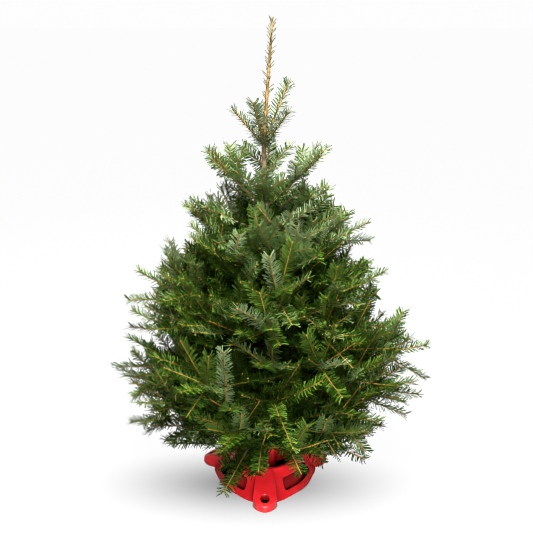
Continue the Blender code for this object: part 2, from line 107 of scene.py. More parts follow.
# A foot along its length: how far its top and its underside are from the axis, height, half width.
RAMP = (
    (0.0900, 0.0900, 0.0797, 0.0270),
    (0.1055, 0.1055, 0.0790, 0.0280),
    (0.1180, 0.1150, 0.0740, 0.0290),
    (0.1300, 0.1250, 0.0688, 0.0304),
    (0.1550, 0.1450, 0.0580, 0.0332),
    (0.1800, 0.1660, 0.0465, 0.0360),
)
TOE_TOP_MIDDLE = 0.2000  # the middle of the round toe, on top and on the floor
TOE_FLOOR_MIDDLE = 0.1840
TOE_FLOOR_REACH = 0.0580
TOE_HEIGHTS = ((0, 0.0370), (30, 0.0284), (60, 0.0212), (90, 0.0172))  # by turn round the toe
TOE_TURNS = range(4, 90, 6)
TOE_DRAFT = 0.0010  # how much the toe's top draws in ahead
RAMP_DRAFT = 0.0015  # how much wider the ramp is on the floor, to each side
TOE_SIDE_DRAFT = 0.0012
RING_RADIUS = 0.1545  # midway between two feet, on the floor
RING_BULGE = 0.0335  # how much wider the ring is at a foot
BULGE_POWER = 1.85
RIM_RADIUS = 0.1055
RIM_HEIGHT = 0.080
LIP_RADIUS = 0.0930  # the opening inside the rim's lip
LIP_DEPTH = 0.0035
SKIRT = 0.0030  # the wall that hangs from the lip's inner edge and leans out to its foot
SKIRT_LOW = 0.011
SKIRT_FOOT = 0.1290
WINDOW_SPAN = (26.0, 94.0)  # from one foot's azimuth towards the next
WINDOW_LEVELS = (0.0185, 0.0520)
WINDOW_CORNER = 0.008
WINDOW_REACH = (0.0985, 0.2000)  # the radii that the block that cuts a window spans
WINDOW_STEPS = 40
SOCKET_RADIUS = 0.0370
SOCKET_BORE = 0.0305
SOCKET_HEIGHT = 0.112
BRACE_WIDTH = 0.020
BRACE_FOOT = 0.046
BRACE_TOP = 0.109  # at the socket
BRACE_ENDS = (0.0030, 0.0005)  # how far outside the socket's bore it starts, and outside the rim it ends
RING_STEPS = 180
SOCKET_STEPS = 80
PEG_HOLE_STEPS = 40
STAND_VOXEL = 0.0018
STAND_SMOOTHING = (0.5, 5)  # how much each pass smooths, and how many there are
STAND_SHARE = 0.28  # the share of the faces that is kept after the rounding

# ---- The growth of the twigs --------------------------------------------------------------------
SIDE_ANGLE = 50.0  # a side twig's angle to its axis
SIDE_ANGLE_JITTER = 7.0
SIDE_SHARE = 0.95  # a side twig's length, as a share of the axis that is left beyond it
# The other twigs at a yearly node, by order of the axis: a turn about the axis from the side of its
# spray, and the share of the nodes that bear it.
OTHER_TWIGS = (
    ((58, 0.85), (122, 0.85), (-90, 0.75)),
    ((90, 0.65), (-90, 0.35)),
)
OTHER_LENGTH = 1.05  # how long these are for their years
TURN_JITTER = 16.0
ROLL_JITTER = 34.0  # how far a twig's spray rolls about the twig
HEADING_JITTER = 3.0  # how much a twig changes its course from year to year
SHORTEST_TWIG = 0.060
SHORTER_EACH_YEAR = 0.78  # below 1, a bough grows less each year
SIDE_LIFT = 0.17  # how much a side twig turns up where it starts
TIP_LIFT = 0.17  # how much a twig turns up each year
EARLY_LIFT = (0.2, 1.4)  # in shares of it, from least to most, in the first half of a year's growth
LATE_LIFT = (-0.2, 0.8)  # and in the second half
YEAR_SPREAD = (0.88, 1.12)  # how uneven a twig's years are
SIDE_SPREAD = (0.86, 1.14)  # how uneven the side twigs are
FITTING_STEP = 0.92  # a twig that doesn't fit shrinks by this, again and again
# How far needles stand out all round: on the boughs of the tiers, of the highest tier and between them.
TIER_BRUSH = 0.15
TOP_BRUSH = 0.55
BETWEEN_BRUSH = 0.40
# Small boughs between the tiers: heights they start at, how many, their years, and how steeply they rise.
Between = namedtuple("Between", "low high count years rise")
BETWEEN_TIERS = (
    Between(0.14, 0.17, 5, 2, -12),
    Between(0.18, 0.29, 20, 2, 5),
    Between(0.26, 0.42, 15, 2, 10),
    Between(0.43, 0.57, 12, 2, 18),
    Between(0.58, 0.73, 12, 2, 24),
    Between(0.76, 0.91, 6, 2, 25),
    Between(0.97, 1.03, 2, 1, 42),
)
BETWEEN_REACH = (0.66, 0.97)  # how far they reach, in shares of the crown's edge
BETWEEN_EDGE = 0.30  # how far out along their rise that edge is read
BETWEEN_TURN = 137.5  # from one to the next
BETWEEN_RISE_JITTER = 8.0
BETWEEN_BEND = 6.0  # how much steeper they rise at their tips
BETWEEN_BARE = 0.15
FULLNESS = ((0.62, 1.0), (0.80, 0.5), (0.93, 0.10))  # by height, the share of the other twigs that grows
# The crown's edge: its radius by height. A side twig that would end past it is made shorter.
CROWN_EDGE = (
    (0.045, 0.120),
    (0.080, 0.240),
    (0.120, 0.350),
    (0.160, 0.420),
    (0.200, 0.455),
    (0.280, 0.505),
    (0.420, 0.500),
    (0.500, 0.485),
    (0.580, 0.450),
    (0.650, 0.415),
    (0.730, 0.380),
    (0.810, 0.335),
    (0.910, 0.275),
    (1.000, 0.235),
    (1.080, 0.195),
    (1.130, 0.150),
    (1.200, 0.105),
    (1.270, 0.085),
    (1.320, 0.060),
)
TWIG_ROOM = (0.0, 0.07)  # how far inside the edge side twigs end, as a share of its radius
# The crown's underside: its lowest height by distance from the trunk, and how much higher it is in front.
CROWN_UNDER = ((0.10, 0.105), (0.20, 0.120), (0.30, 0.130), (0.40, 0.165), (0.47, 0.220))
FRONT_LIFT = 0.12
FRONT_LIFT_OUT = 0.3  # from this far out it is whole
FRONT_LIFT_POWER = 3  # the higher, the narrower the front is
# Where the crown is no fuller than this, a bough grows evenly and bears no twigs at its root.
SPARSE_FULLNESS = 0.2

# ---- The studio ---------------------------------------------------------------------------------
SURROUND = 0.985  # how bright the surround looks
AMBIENT = 0.012  # and how bright it is as a light
FLOOR_HALF = 30.0
FLOOR_PALE = 0.62  # how pale the floor is to the light that it throws back at the tree
FLOOR_SEEN = 0.02  # and to the camera, which sees its glow instead, with the painted shadow in it
SHADE_MIDDLE = (-0.037, -0.051)  # of the shadow painted on the floor
SHADE_SHAPE = 2.0  # how many times wider than deep it is
SHADE_SPAN = (-0.18, 0.583)  # the distances from its middle between which it turns from dark to white
SHADE_WHITE = (0.03, 0.972)  # how white it is at each
# The floor is painted dark under the stand, as its shadow: within the first radius of the axis and, at each
# foot, this far out within this radius. Past that edge it takes the third width to clear.
RING_FLOOR = 0.150
FOOT_FLOORS = ((0.195, 0.0335), (0.120, 0.062))
FLOOR_EDGE = 0.010
# Each soft light: its name, its place, what it faces, its side and its power.
SOFT_LIGHTS = (
    ("overhead", (0.05, -1.30, 2.85), (0, 0, 0.7), 1.6, 282),
    ("front", (0.2, -4.2, 1.6), (0, 0, 0.6), 1.6, 34),
    ("back", (-0.6, 3.4, 2.3), (0, 0, 0.6), 1.6, 70),
)
STAND_LIGHT = ((0.15, -2.6, 1.05), (0, -0.13, 0.03), 255)  # its place, what it faces and its power
STAND_LIGHT_CONE = 17
STAND_LIGHT_SIZE = 0.25
CAMERA_PLACE = (0.005, -2.94, 1.613)
CAMERA_DIP = 16.61  # how far it looks down
CAMERA_LENS = 65.5  # in millimetres, as is the sensor
CAMERA_SENSOR = 36.0

# ---- Needles, buds and bark ---------------------------------------------------------------------
NEEDLE_LENGTH = 0.0300
NEEDLE_WIDTH = 0.0036
NEEDLE_DEPTH = 0.0014
NEEDLE_ANGLES = (76.0, 44.0)  # a needle's angle to its shoot, at the shoot's root and at its tip
NEEDLE_ANGLE_POWER = 1.8  # above 1, the angle changes most near the tip
NEEDLE_ANGLE_JITTER = 0.16  # in radians
NEEDLE_ROLL = 0.40  # how far a needle's upper side may roll from the spray's
NEEDLE_SWELL = (0.30, 0.66)  # the stretch of a half wave that the needles' length follows along a shoot
NEEDLE_SHORTEST = 0.45  # the length at the low end of that wave
NEEDLE_SPREAD = (0.82, 1.14)  # how uneven their length is
# The ranks that needles stand in: the share of them, and their angle above the plane of their spray.
NEEDLE_RANKS = ((0.50, -8.0), (0.32, 26.0), (0.18, 56.0))
RANK_JITTER = 8.0
LIGHT_SHARE = 0.42  # the share of the needles painted lighter, as a painted highlight
PIECE_NEEDLES = 40000  # the most needles in one piece
LEADER_NEEDLE_LENGTH = 0.0230
LEADER_NEEDLE_SPACING = 0.0036
LEADER_NEEDLE_ANGLES = (52.0, 38.0)
LEADER_NEEDLE_ENDS = (0.02, 0.01)  # how far they start above the highest node, and end below the tip
LEADER_STEPS = 12
BUD_LENGTH = 0.0070
BUD_WIDTH = 0.0042
BUD_GROUP = ((0, 1.0), (0.9, 0.62), (-0.9, 0.62))  # how far each bud at a tip leans, and its size
BUD_SPREAD = (0.85, 1.15)
YOUNG_TWIG_RADIUS = 0.0017
TWIG_GROWTH = 0.0065  # how much thicker a twig is per metre back from its tip
TOP_TWIG_GAIN = 1.6  # how much thicker the twigs of the highest tier are
BOUGH_RELIEF = 0.0045  # how uneven an old bough's bark is
BOUGH_LUMPS = 70.0  # how fine its lumps are
BARK_GRAIN = 420.0
# Each bark: how fine its patches are, its dark and its pale colour, and how deep its grain is.
BARKS = {
    # The first bark below is painted dark, as shade, for the twigs deep in the crown.
    "shade-painted bark": (12.0, (0.030, 0.020, 0.008), (0.080, 0.046, 0.014), 0.0003),
    "young bark": (12.0, (0.120, 0.085, 0.012), (0.430, 0.205, 0.030), 0.0003),
    "bough bark": (30.0, (0.070, 0.045, 0.022), (0.200, 0.130, 0.065), 0.0012),
    "bud scales": (30.0, (0.200, 0.085, 0.012), (0.380, 0.190, 0.035), 0.0004),
}
TRUNK_STEPS = 220
TRUNK_SIDES = 20
TRUNK_RELIEF = ((60, 0.06), (170, 0.03))  # how fine each layer is, and how deep as a share of the radius
TRUNK_MOTTLE = 90.0
YOUNG_BARK = (1.02, 1.19)  # the heights between which the bark turns young
# Which lot of needles a shoot gets. By height, how much paler the lots are, painted light and shade that
# make the crown darker towards the bottom:
PALER = ((0.20, -0.28), (0.50, -0.08), (0.75, 0.0), (0.95, 0.20))
HANGING = 0.260  # needles below this height are painted dark, as the shade under the crown
LOWEST = 0.170  # and below this one darker still
AGE_SHADE = 0.07  # how much deeper in the shade a shoot counts for each year of its age
INNER_SHADE = ((0.78, 1.0), (1.00, 0.35))  # by height, how strongly the crown's shade is painted into the colours inside it
BLUE_ABOVE = 0.84  # higher than this the green lots turn blue
INNER_TWIGS = 0.40  # how deep in the crown the twigs' bark is painted dark, as shade
TOP_ROOM = 0.02  # how far below the highest node a twig still counts as one of its own

# ---- The red plastic and its painted shade ------------------------------------------------------
RECESS_REACH = 0.08  # walls nearer than this darken one another's colour, as painted shade
RECESS_POWER = 2.4  # the higher, the darker the painted shade in the recesses
# The painted shade behind the windows ends between these distances outside the skirt, and these below the
# rim.
BEHIND_WINDOWS = (0.006, 0.012)
UNDER_RIM = (0.016, 0.008)
BEHIND_SHADE = 0.40  # how much of the colour is left in it


# ---- Small helpers ------------------------------------------------------------------------------
def add_object(name, data):
    """An object in the scene that holds this mesh, light or camera."""
    thing = bpy.data.objects.new(name, data)
    bpy.context.scene.collection.objects.link(thing)
    return thing


def interpolate(table, place):
    """The value at a place in a table of (place, value), held level past its ends."""
    if place <= table[0][0]:
        return table[0][1]
    for (low, low_value), (high, high_value) in zip(table, table[1:]):
        if place <= high:
            return low_value + (high_value - low_value) * (place - low) / (high - low)
    return table[-1][1]


def mesh_of(name, points, faces):
    """A mesh with its normals made to point outwards."""
    mesh = bpy.data.meshes.new(name)
    mesh.from_pydata([tuple(p) for p in points], [], faces)
    shape = bmesh.new()
    shape.from_mesh(mesh)
    bmesh.ops.recalc_face_normals(shape, faces=shape.faces)
    shape.to_mesh(mesh)
    shape.free()
    return mesh


def mesh_with(name, points, edges, **stored):
    """A mesh of points and edges that stores these lists of numbers, or of vectors, on its points."""
    mesh = bpy.data.meshes.new(name)
    mesh.from_pydata([tuple(p) for p in points], edges, [])
    for key, values in stored.items():
        kind, field = ("FLOAT", "value") if len(values) == len(points) else ("FLOAT_VECTOR", "vector")
        mesh.attributes.new(key, kind, "POINT").data.foreach_set(field, values)
    return mesh


def hidden_pattern(name, mesh):
    """An object that is only there to be copied."""
    pattern = add_object(name, mesh)
    pattern.hide_render = True
    return pattern


def keep_result(thing):
    """Makes the result of the object's modifiers its plain mesh."""
    graph = bpy.context.evaluated_depsgraph_get()
    made = bpy.data.meshes.new_from_object(thing.evaluated_get(graph), depsgraph=graph)
    thing.modifiers.clear()
    thing.data = made
    return thing


def combine(base, others, operation="UNION"):
    """Joins the others to the base, or cuts them out of it, with one Boolean, and removes them."""
    group = bpy.data.collections.new("operands")
    bpy.context.scene.collection.children.link(group)
    for other in others:
        group.objects.link(other)
    step = base.modifiers.new("combine", "BOOLEAN")
    step.operation, step.operand_type, step.collection = operation, "COLLECTION", group
    step.solver = "MANIFOLD"
    keep_result(base)
    for other in others:
        bpy.data.objects.remove(other)
    bpy.data.collections.remove(group)
    return base


def ring_of(radius, steps, height):
    """Points of a level ring round +Z."""
    turns = [2 * math.pi * i / steps for i in range(steps)]
    return [(radius * math.cos(turn), radius * math.sin(turn), height) for turn in turns]


def lathe(profile, steps):
    """Points and faces of a closed profile of (radius, height) turned about +Z. A radius of 0 is a pole."""
    points, rings = [], []
    for radius, height in profile:
        ring = ring_of(radius, steps, height) if radius > 0 else [(0.0, 0.0, height)]
        rings.append([len(points) + i for i in range(len(ring))])
        points += ring
    faces = []
    for lower, upper in zip(rings, rings[1:] + rings[:1]):
        for i in range(steps):
            corners = [lower[i % len(lower)], lower[(i + 1) % len(lower)]]
            corners += [upper[(i + 1) % len(upper)], upper[i % len(upper)]]
            corners = list(dict.fromkeys(corners))
            if len(corners) > 2:
                faces.append(corners)
    return points, faces


def loft(sections):
    """Points and faces of a closed solid through rings with the same number of points."""
    count = len(sections[0])
    points = [p for section in sections for p in section]
    faces = [list(range(count)), list(range(len(points) - count, len(points)))]
    for first in range(0, len(points) - count, count):
        for i in range(count):
            j = (i + 1) % count
            faces.append([first + i, first + j, first + count + j, first + count + i])
    return points, faces


# ---- The skeleton -------------------------------------------------------------------------------
def outward(azimuth):
    """The level direction at an azimuth."""
    return Vector((math.cos(math.radians(azimuth)), math.sin(math.radians(azimuth)), 0))


def trunk_axis(height):
    """The middle of the trunk: a slight sway, then a leader that leans to the right."""
    share = max(0.0, (height - TOP_NODE) / (TREE_TOP - TOP_NODE))
    sway = TRUNK_SWAY * math.sin(math.pi * min(height, TOP_NODE) / TOP_NODE * SWAY_WAVES)
    return Vector((sway + LEADER_LEAN * share**LEADER_BEND, 0.0, height))


def bough_path(tier, index, chance):
    """Where one bough of a tier runs, from the trunk's axis to its tip."""
    azimuth = tier.first + 360.0 * index / tier.boughs + chance.uniform(-AZIMUTH_JITTER, AZIMUTH_JITTER)
    reach = tier.high_reach if index % 2 else tier.low_reach
    reach *= 1 + chance.uniform(-REACH_JITTER, REACH_JITTER)
    lift = chance.uniform(-RISE_JITTER, RISE_JITTER) + (UNEVEN_RISE if index % 2 else -UNEVEN_RISE)
    return limb_path(tier.height, azimuth, reach, (tier.root_rise + lift, tier.tip_rise + lift))


def limb_path(height, azimuth, reach, rises):
    """Points of a limb that leaves the trunk's axis at a height and bends from one rise to another."""
    out = outward(azimuth)
    point = trunk_axis(height)
    path = [point]
    for step in range(PATH_STEPS):
        share = (step + 0.5) / PATH_STEPS
        rise = math.radians(rises[0] + (rises[1] - rises[0]) * share)
        point = point + (out + UP * math.tan(rise)) * (reach / PATH_STEPS)
        path.append(point)
    return path


def length_of(path):
    """How long a path is."""
    return sum((b - a).length for a, b in zip(path, path[1:]))


def along(path, share):
    """The point and the direction at a share of the path's steps."""
    place = min(max(share, 0.0), 0.9999) * (len(path) - 1)
    step = int(place)
    direction = (path[step + 1] - path[step]).normalized()
    return path[step].lerp(path[step + 1], place - step), direction


def across(ahead, up):
    """The side and the normal of a spray that heads this way, with its normal as near to up as it goes."""
    side = up.cross(ahead).normalized()
    return side, ahead.cross(side)


# One year's growth of a twig: its points, the upper side of its spray, its age in years (0 is this
# year's), how far needles stand out all round it (0 to 1), and its spray's own number.
Shoot = namedtuple("Shoot", "points normal age brush spray")
# One piece of twig: its points, whether it is old wood, and how far the twig goes on past it.
Axis = namedtuple("Axis", "points old beyond")


def depth(point):
    """How far inside the crown's edge a point is, as a share of the edge's radius. Below 0 is outside."""
    middle = trunk_axis(point.z)
    return 1 - math.hypot(point.x - middle.x, point.y - middle.y) / interpolate(CROWN_EDGE, point.z)


def shaded(point):
    """How much the crown shades a point, from 0 at its edge to 1 at the trunk low down."""
    return depth(point) * interpolate(INNER_SHADE, point.z)


def above_underside(point):
    """True if a point is above the crown's underside."""
    out = math.hypot(point.x, point.y)
    facing = max(0.0, -point.y / max(out, 0.01)) ** FRONT_LIFT_POWER
    lift = FRONT_LIFT * facing * min(1.0, out / FRONT_LIFT_OUT)
    return point.z > interpolate(CROWN_UNDER, out) + lift


class Crown:
    """Everything that has grown: the yearly shoots, the twigs' axes and the buds."""

    def __init__(self):
        self.shoots = []
        self.axes = []
        self.buds = []
        self.sprays = 0
        self.hanging = False  # true while twigs may grow below the crown's underside
        self.fullness = 1.0

    def next_spray(self):
        """The number of a new spray."""
        self.sprays += 1
        return self.sprays - 1

    def grow_twig(self, root, heading, normal, length, years, order, brush, chance):
        """A twig that grows for some years, with a pair of side twigs at each yearly node but the last."""
        while length > SHORTEST_TWIG:
            end = root + heading * length
            fits = depth(end) > chance.uniform(*TWIG_ROOM)
            if fits and (self.hanging or above_underside(end)):
                break
            length *= FITTING_STEP
        if length <= SHORTEST_TWIG:
            return
        points, nodes = [root], []
        place, course = root, heading
        spray = self.next_spray()
        for year in range(years):
            step = length / years * chance.uniform(*YEAR_SPREAD)
            side = normal.cross(course).normalized()
            wander = math.radians(chance.gauss(0, HEADING_JITTER))
            course = (course + side * wander + UP * TIP_LIFT * chance.uniform(*EARLY_LIFT)).normalized()
            middle = place + course * step * 0.5
            course = (course + UP * TIP_LIFT * chance.uniform(*LATE_LIFT)).normalized()
            end = middle + course * step * 0.5
            self.shoots.append(Shoot((place, middle, end), normal, years - 1 - year, brush, spray))
            points += [middle, end]
            place = end
            nodes.append((year + 1, end, course))
        self.axes.append(Axis(points, False, 0.0))
        self.buds.append((place, course))
        for node, place, course in nodes[:-1]:
            rest = length * (1 - node / years)
            self.grow_sides(place, course, normal, rest, years - node, order, brush, chance)

    def grow_sides(self, place, course, normal, rest, years, order, brush, chance):
        """The twigs at one yearly node: one to each side, and some a year younger above and below."""
        side, normal = across(course, normal)
        twigs = [(0, 0), (180, 0)]
        for turn, share in OTHER_TWIGS[order]:
            if chance.random() < share * self.fullness:
                twigs.append((turn, 1))
        for turn, younger in twigs:
            turn = math.radians(turn + chance.uniform(-TURN_JITTER, TURN_JITTER))
            angle = math.radians(SIDE_ANGLE + chance.uniform(-SIDE_ANGLE_JITTER, SIDE_ANGLE_JITTER))
            out = side * math.cos(turn) + normal * math.sin(turn)
            heading = (course * math.cos(angle) + out * math.sin(angle) + UP * SIDE_LIFT).normalized()
            age = max(1, years - younger)
            share = OTHER_LENGTH if younger else SIDE_SHARE
            size = rest * share * age / years * chance.uniform(*SIDE_SPREAD)
            roll = Matrix.Rotation(math.radians(chance.uniform(-ROLL_JITTER, ROLL_JITTER)), 3, heading)
            self.grow_twig(place, heading, roll @ normal, size, age, order + 1, brush, chance)

    def grow_bough(self, path, bare, years, brush, chance):
        """A bough along its path: yearly nodes from its bare root to its tip, and its own needles."""
        length = length_of(path)
        turn = round(OLD_SHARE * PATH_STEPS) if years > 1 else 0
        if turn:
            self.axes.append(Axis(path[: turn + 1], True, length_of(path[turn:])))
        self.axes.append(Axis(path[turn:], False, 0.0))
        spray = self.next_spray()
        sparse = self.fullness <= SPARSE_FULLNESS
        power = 1.0 if sparse else SHORTER_EACH_YEAR
        shares = [bare + (1 - bare) * (year / years) ** power for year in range(years + 1)]
        for year, (low, high) in enumerate(zip(shares, shares[1:])):
            places = [low + (high - low) * i / SHOOT_STEPS for i in range(SHOOT_STEPS + 1)]
            points = tuple(along(path, place)[0] for place in places)
            ahead = along(path, (low + high) / 2)[1]
            _, normal = across(ahead, UP)
            self.shoots.append(Shoot(points, normal, years - 1 - year, brush, spray))
            if year or not sparse:
                place, course = along(path, low)
                _, normal = across(course, UP)
                rest = length * (1 - low)
                self.grow_sides(place, course, normal, rest, years - year, 0, brush, chance)
        self.buds.append((path[-1], (path[-1] - path[-2]).normalized()))


def grow_tiers(crown):
    """The tiers of boughs."""
    for number, tier in enumerate(TIERS, 1):
        crown.hanging = number == 1
        crown.fullness = interpolate(FULLNESS, tier.height)
        brush = TOP_BRUSH if number == len(TIERS) else TIER_BRUSH
        for index in range(tier.boughs):
            path = bough_path(tier, index, random.Random(f"tier {number} bough {index}"))
            chance = random.Random(f"tier {number} bough {index} twigs")
            crown.grow_bough(path, tier.bare, tier.years, brush, chance)


def grow_between(crown):
    """The small boughs between the tiers. The lowest of them hang in front of the stand and beside it."""
    for number, between in enumerate(BETWEEN_TIERS):
        crown.hanging = number == 0
        crown.fullness = interpolate(FULLNESS, between.high)
        chance = random.Random(f"between {number}")
        first = chance.uniform(0, 360)
        for index in range(between.count):
            height = between.low + (between.high - between.low) * (index + 0.5) / between.count
            rise = between.rise + chance.uniform(-BETWEEN_RISE_JITTER, BETWEEN_RISE_JITTER)
            tip_height = height + BETWEEN_EDGE * math.tan(math.radians(rise))
            reach = interpolate(CROWN_EDGE, tip_height) * chance.uniform(*BETWEEN_REACH)
            path = limb_path(height, first + BETWEEN_TURN * index, reach, (rise, rise + BETWEEN_BEND))
            crown.grow_bough(path, BETWEEN_BARE, between.years, BETWEEN_BRUSH, chance)


def grow_crown():
    """All boughs and what grows on them."""
    crown = Crown()
    grow_tiers(crown)
    grow_between(crown)
    return crown


# ---- Node trees ---------------------------------------------------------------------------------
def socket(sockets, name):
    """The socket in use that has this name, or this index."""
    if isinstance(name, int):
        return sockets[name]
    return next(s for s in sockets if s.name == name and s.enabled)


def put(tree, kind, settings=None, **inputs):
    """A node of this kind. Each input is given by name, with _ for a space, as a value or as a socket."""
    made = tree.nodes.new(kind)
    for key, value in (settings or {}).items():
        setattr(made, key, value)
    for key, value in inputs.items():
        target = socket(made.inputs, int(key[1:]) if key[0] == "_" else key.replace("_", " "))
        if isinstance(value, bpy.types.NodeSocket):
            tree.links.new(value, target)
        else:
            target.default_value = value
    return made


def made_by(tree, kind, settings=None, **inputs):
    """The first output in use of a new node of this kind."""
    return next(s for s in put(tree, kind, settings, **inputs).outputs if s.enabled)


def calculate(tree, operation, *values):
    """The result of a Math node."""
    inputs = {f"_{i}": value for i, value in enumerate(values)}
    return made_by(tree, "ShaderNodeMath", {"operation": operation}, **inputs)


def vector(tree, operation, *values, **more):
    """The result of a Vector Math node."""
    inputs = {f"_{i}": value for i, value in enumerate(values)}
    return made_by(tree, "ShaderNodeVectorMath", {"operation": operation}, **inputs, **more)


def turned(tree, first, second, angle):
    """A direction at an angle to the first one, towards the second."""
    ahead = vector(tree, "SCALE", first, Scale=calculate(tree, "COSINE", angle))
    return vector(tree, "ADD", ahead, vector(tree, "SCALE", second, Scale=calculate(tree, "SINE", angle)))


def blend(tree, low, high, share):
    """A value part of the way from low to high."""
    return calculate(tree, "MULTIPLY_ADD", calculate(tree, "SUBTRACT", high, low), share, low)


def chance_between(tree, low, high, seed, offset, kind="FLOAT"):
    """A random number, or vector, for each point."""
    number = calculate(tree, "ADD", seed, offset)
    return made_by(tree, "FunctionNodeRandomValue", {"data_type": kind}, Min=low, Max=high, Seed=number)


def attribute(tree, name, kind="FLOAT"):
    """A value that the mesh stores on its points or faces."""
    return made_by(tree, "GeometryNodeInputNamedAttribute", {"data_type": kind}, Name=name)


def copies(tree, points, pattern, size, **axes):
    """A copy of the pattern on each point, at a size and with its axes along these directions."""
    settings = {"primary_axis": "X", "secondary_axis": "Z"}
    turn = made_by(tree, "FunctionNodeAxesToRotation", settings, **axes)
    settings = {"transform_space": "ORIGINAL"}
    copy = put(tree, "GeometryNodeObjectInfo", settings, Object=pattern).outputs["Geometry"]
    placed = {"Points": points, "Instance": copy, "Rotation": turn, "Scale": size}
    return made_by(tree, "GeometryNodeInstanceOnPoints", **placed)


def covered(tree, solid, look, **where):
    """The solid with this finish, all over or on a selection."""
    return made_by(tree, "GeometryNodeSetMaterial", Geometry=solid, Material=look, **where)


def start_tree(name, inputs):
    """A Geometry Nodes tree with these named inputs, and its input node."""
    tree = bpy.data.node_groups.new(name, "GeometryNodeTree")
    tree.interface.new_socket("Geometry", in_out="INPUT", socket_type="NodeSocketGeometry")
    for label, kind in inputs:
        tree.interface.new_socket(label, in_out="INPUT", socket_type="NodeSocket" + kind)
    tree.interface.new_socket("Geometry", in_out="OUTPUT", socket_type="NodeSocketGeometry")
    return tree, put(tree, "NodeGroupInput").outputs


def end_tree(tree, geometry):
    """The tree with this result."""
    put(tree, "NodeGroupOutput", Geometry=geometry)
    return tree


def run_tree(thing, tree, values):
    """Runs a tree on an object with these input values, and keeps the result as the object's plain mesh."""
    step = thing.modifiers.new(tree.name, "NODES")
    step.node_group = tree
    for item in tree.interface.items_tree:
        if item.in_out == "INPUT" and item.name in values:
            step[item.identifier] = values[item.name]
    return keep_result(thing)


# ---- The needles' tree --------------------------------------------------------------------------
# Each kind of random number that a needle gets draws from a seed of its own.
ROLL_DRAW, RANK_DRAW, ANGLE_DRAW, LENGTH_DRAW, JITTER_DRAW, BRUSH_DRAW, LIGHT_DRAW = range(7)
SEED_STEP = 10  # from one lot of needles to the next


def needle_rank(tree, seed, brush):
    """Each needle's angle above the plane of its spray: one of the ranks, or any angle where brush is 1."""
    dealt = chance_between(tree, 0.0, 1.0, seed, RANK_DRAW)
    rank = math.radians(NEEDLE_RANKS[0][1])
    passed = 0.0
    for (share, angle), (_, next_angle) in zip(NEEDLE_RANKS, NEEDLE_RANKS[1:]):
        passed += share
        beyond = calculate(tree, "GREATER_THAN", dealt, passed)
        step = calculate(tree, "MULTIPLY", beyond, math.radians(next_angle - angle))
        rank = calculate(tree, "ADD", rank, step)
    jitter = math.radians(RANK_JITTER)
    rank = calculate(tree, "ADD", rank, chance_between(tree, -jitter, jitter, seed, JITTER_DRAW))
    return blend(tree, rank, chance_between(tree, -math.pi / 2, math.pi / 2, seed, BRUSH_DRAW), brush)


def needle_course(tree, given, share, ahead, side, normal, brush):
    """Where each needle points: to the left and to the right by turns, and forward by its angle."""
    seed, jitter = given["Seed"], NEEDLE_ANGLE_JITTER
    odd = calculate(tree, "MODULO", made_by(tree, "GeometryNodeInputIndex"), 2.0)
    hand = calculate(tree, "SUBTRACT", calculate(tree, "MULTIPLY", odd, 2.0), 1.0)
    out = turned(tree, vector(tree, "SCALE", side, Scale=hand), normal, needle_rank(tree, seed, brush))
    forward = calculate(tree, "POWER", share, NEEDLE_ANGLE_POWER)
    angle = blend(tree, given["Root Angle"], given["Tip Angle"], forward)
    angle = calculate(tree, "ADD", angle, chance_between(tree, -jitter, jitter, seed, ANGLE_DRAW))
    return turned(tree, ahead, out, angle)


def needle_size(tree, given, share):
    """Each needle's size: longest past the middle of its shoot, and uneven."""
    wave = calculate(tree, "SINE", calculate(tree, "MULTIPLY", blend(tree, *NEEDLE_SWELL, share), math.pi))
    length = calculate(tree, "MULTIPLY", given["Length"], blend(tree, NEEDLE_SHORTEST, 1.0, wave))
    uneven = chance_between(tree, *NEEDLE_SPREAD, given["Seed"], LENGTH_DRAW)
    length = calculate(tree, "MULTIPLY", length, uneven)
    return made_by(tree, "ShaderNodeCombineXYZ", X=length, Y=given["Width"], Z=given["Depth"])


def needle_tree():
    """Needles along the shoots: in ranks to both sides that open upwards, or all round where brush is 1."""
    inputs = [("Needle", "Object"), ("Seed", "Int")]
    sizes = ("Spacing", "Length", "Width", "Depth", "Root Angle", "Tip Angle")
    inputs += [(size, "Float") for size in sizes]
    inputs += [(look, "Material") for look, *_ in NEEDLE_SIDES]
    tree, given = start_tree("needles", inputs)
    curves = made_by(tree, "GeometryNodeMeshToCurve", Mesh=given["Geometry"])
    settings = {"mode": "LENGTH"}
    points = made_by(tree, "GeometryNodeResampleCurve", settings, Curve=curves, Length=given["Spacing"])
    share = put(tree, "GeometryNodeSplineParameter").outputs["Factor"]
    ahead = made_by(tree, "GeometryNodeInputTangent")
    upper = attribute(tree, "upper", "FLOAT_VECTOR")
    side = vector(tree, "NORMALIZE", vector(tree, "CROSS_PRODUCT", upper, ahead))
    normal = vector(tree, "CROSS_PRODUCT", ahead, side)
    brush, seed = attribute(tree, "brush"), given["Seed"]

    course = needle_course(tree, given, share, ahead, side, normal, brush)
    left, right = (-NEEDLE_ROLL,) * 3, (NEEDLE_ROLL,) * 3
    face = vector(tree, "ADD", normal, chance_between(tree, left, right, seed, ROLL_DRAW, "FLOAT_VECTOR"))
    face = vector(tree, "ADD", face, vector(tree, "SCALE", ahead, Scale=brush))
    size = needle_size(tree, given, share)
    placed = copies(tree, points, given["Needle"], size, Primary_Axis=course, Secondary_Axis=face)

    # Painted highlight: a random share of the needles gets the lighter finish, as if it caught the light.
    lit = calculate(tree, "LESS_THAN", chance_between(tree, 0.0, 1.0, seed, LIGHT_DRAW), LIGHT_SHARE)
    settings = {"data_type": "BOOLEAN", "domain": "INSTANCE"}
    marked = {"Geometry": placed, "Name": "light needle", "Value": lit}
    marked = made_by(tree, "GeometryNodeStoreNamedAttribute", settings, **marked)
    solid = made_by(tree, "GeometryNodeRealizeInstances", Geometry=marked)
    solid = covered(tree, solid, given["Upper Finish"])
    for look, where in (("Light Finish", "light needle"), ("Lower Finish", "underside")):
        solid = covered(tree, solid, given[look], Selection=attribute(tree, where, "BOOLEAN"))
    return end_tree(tree, solid)


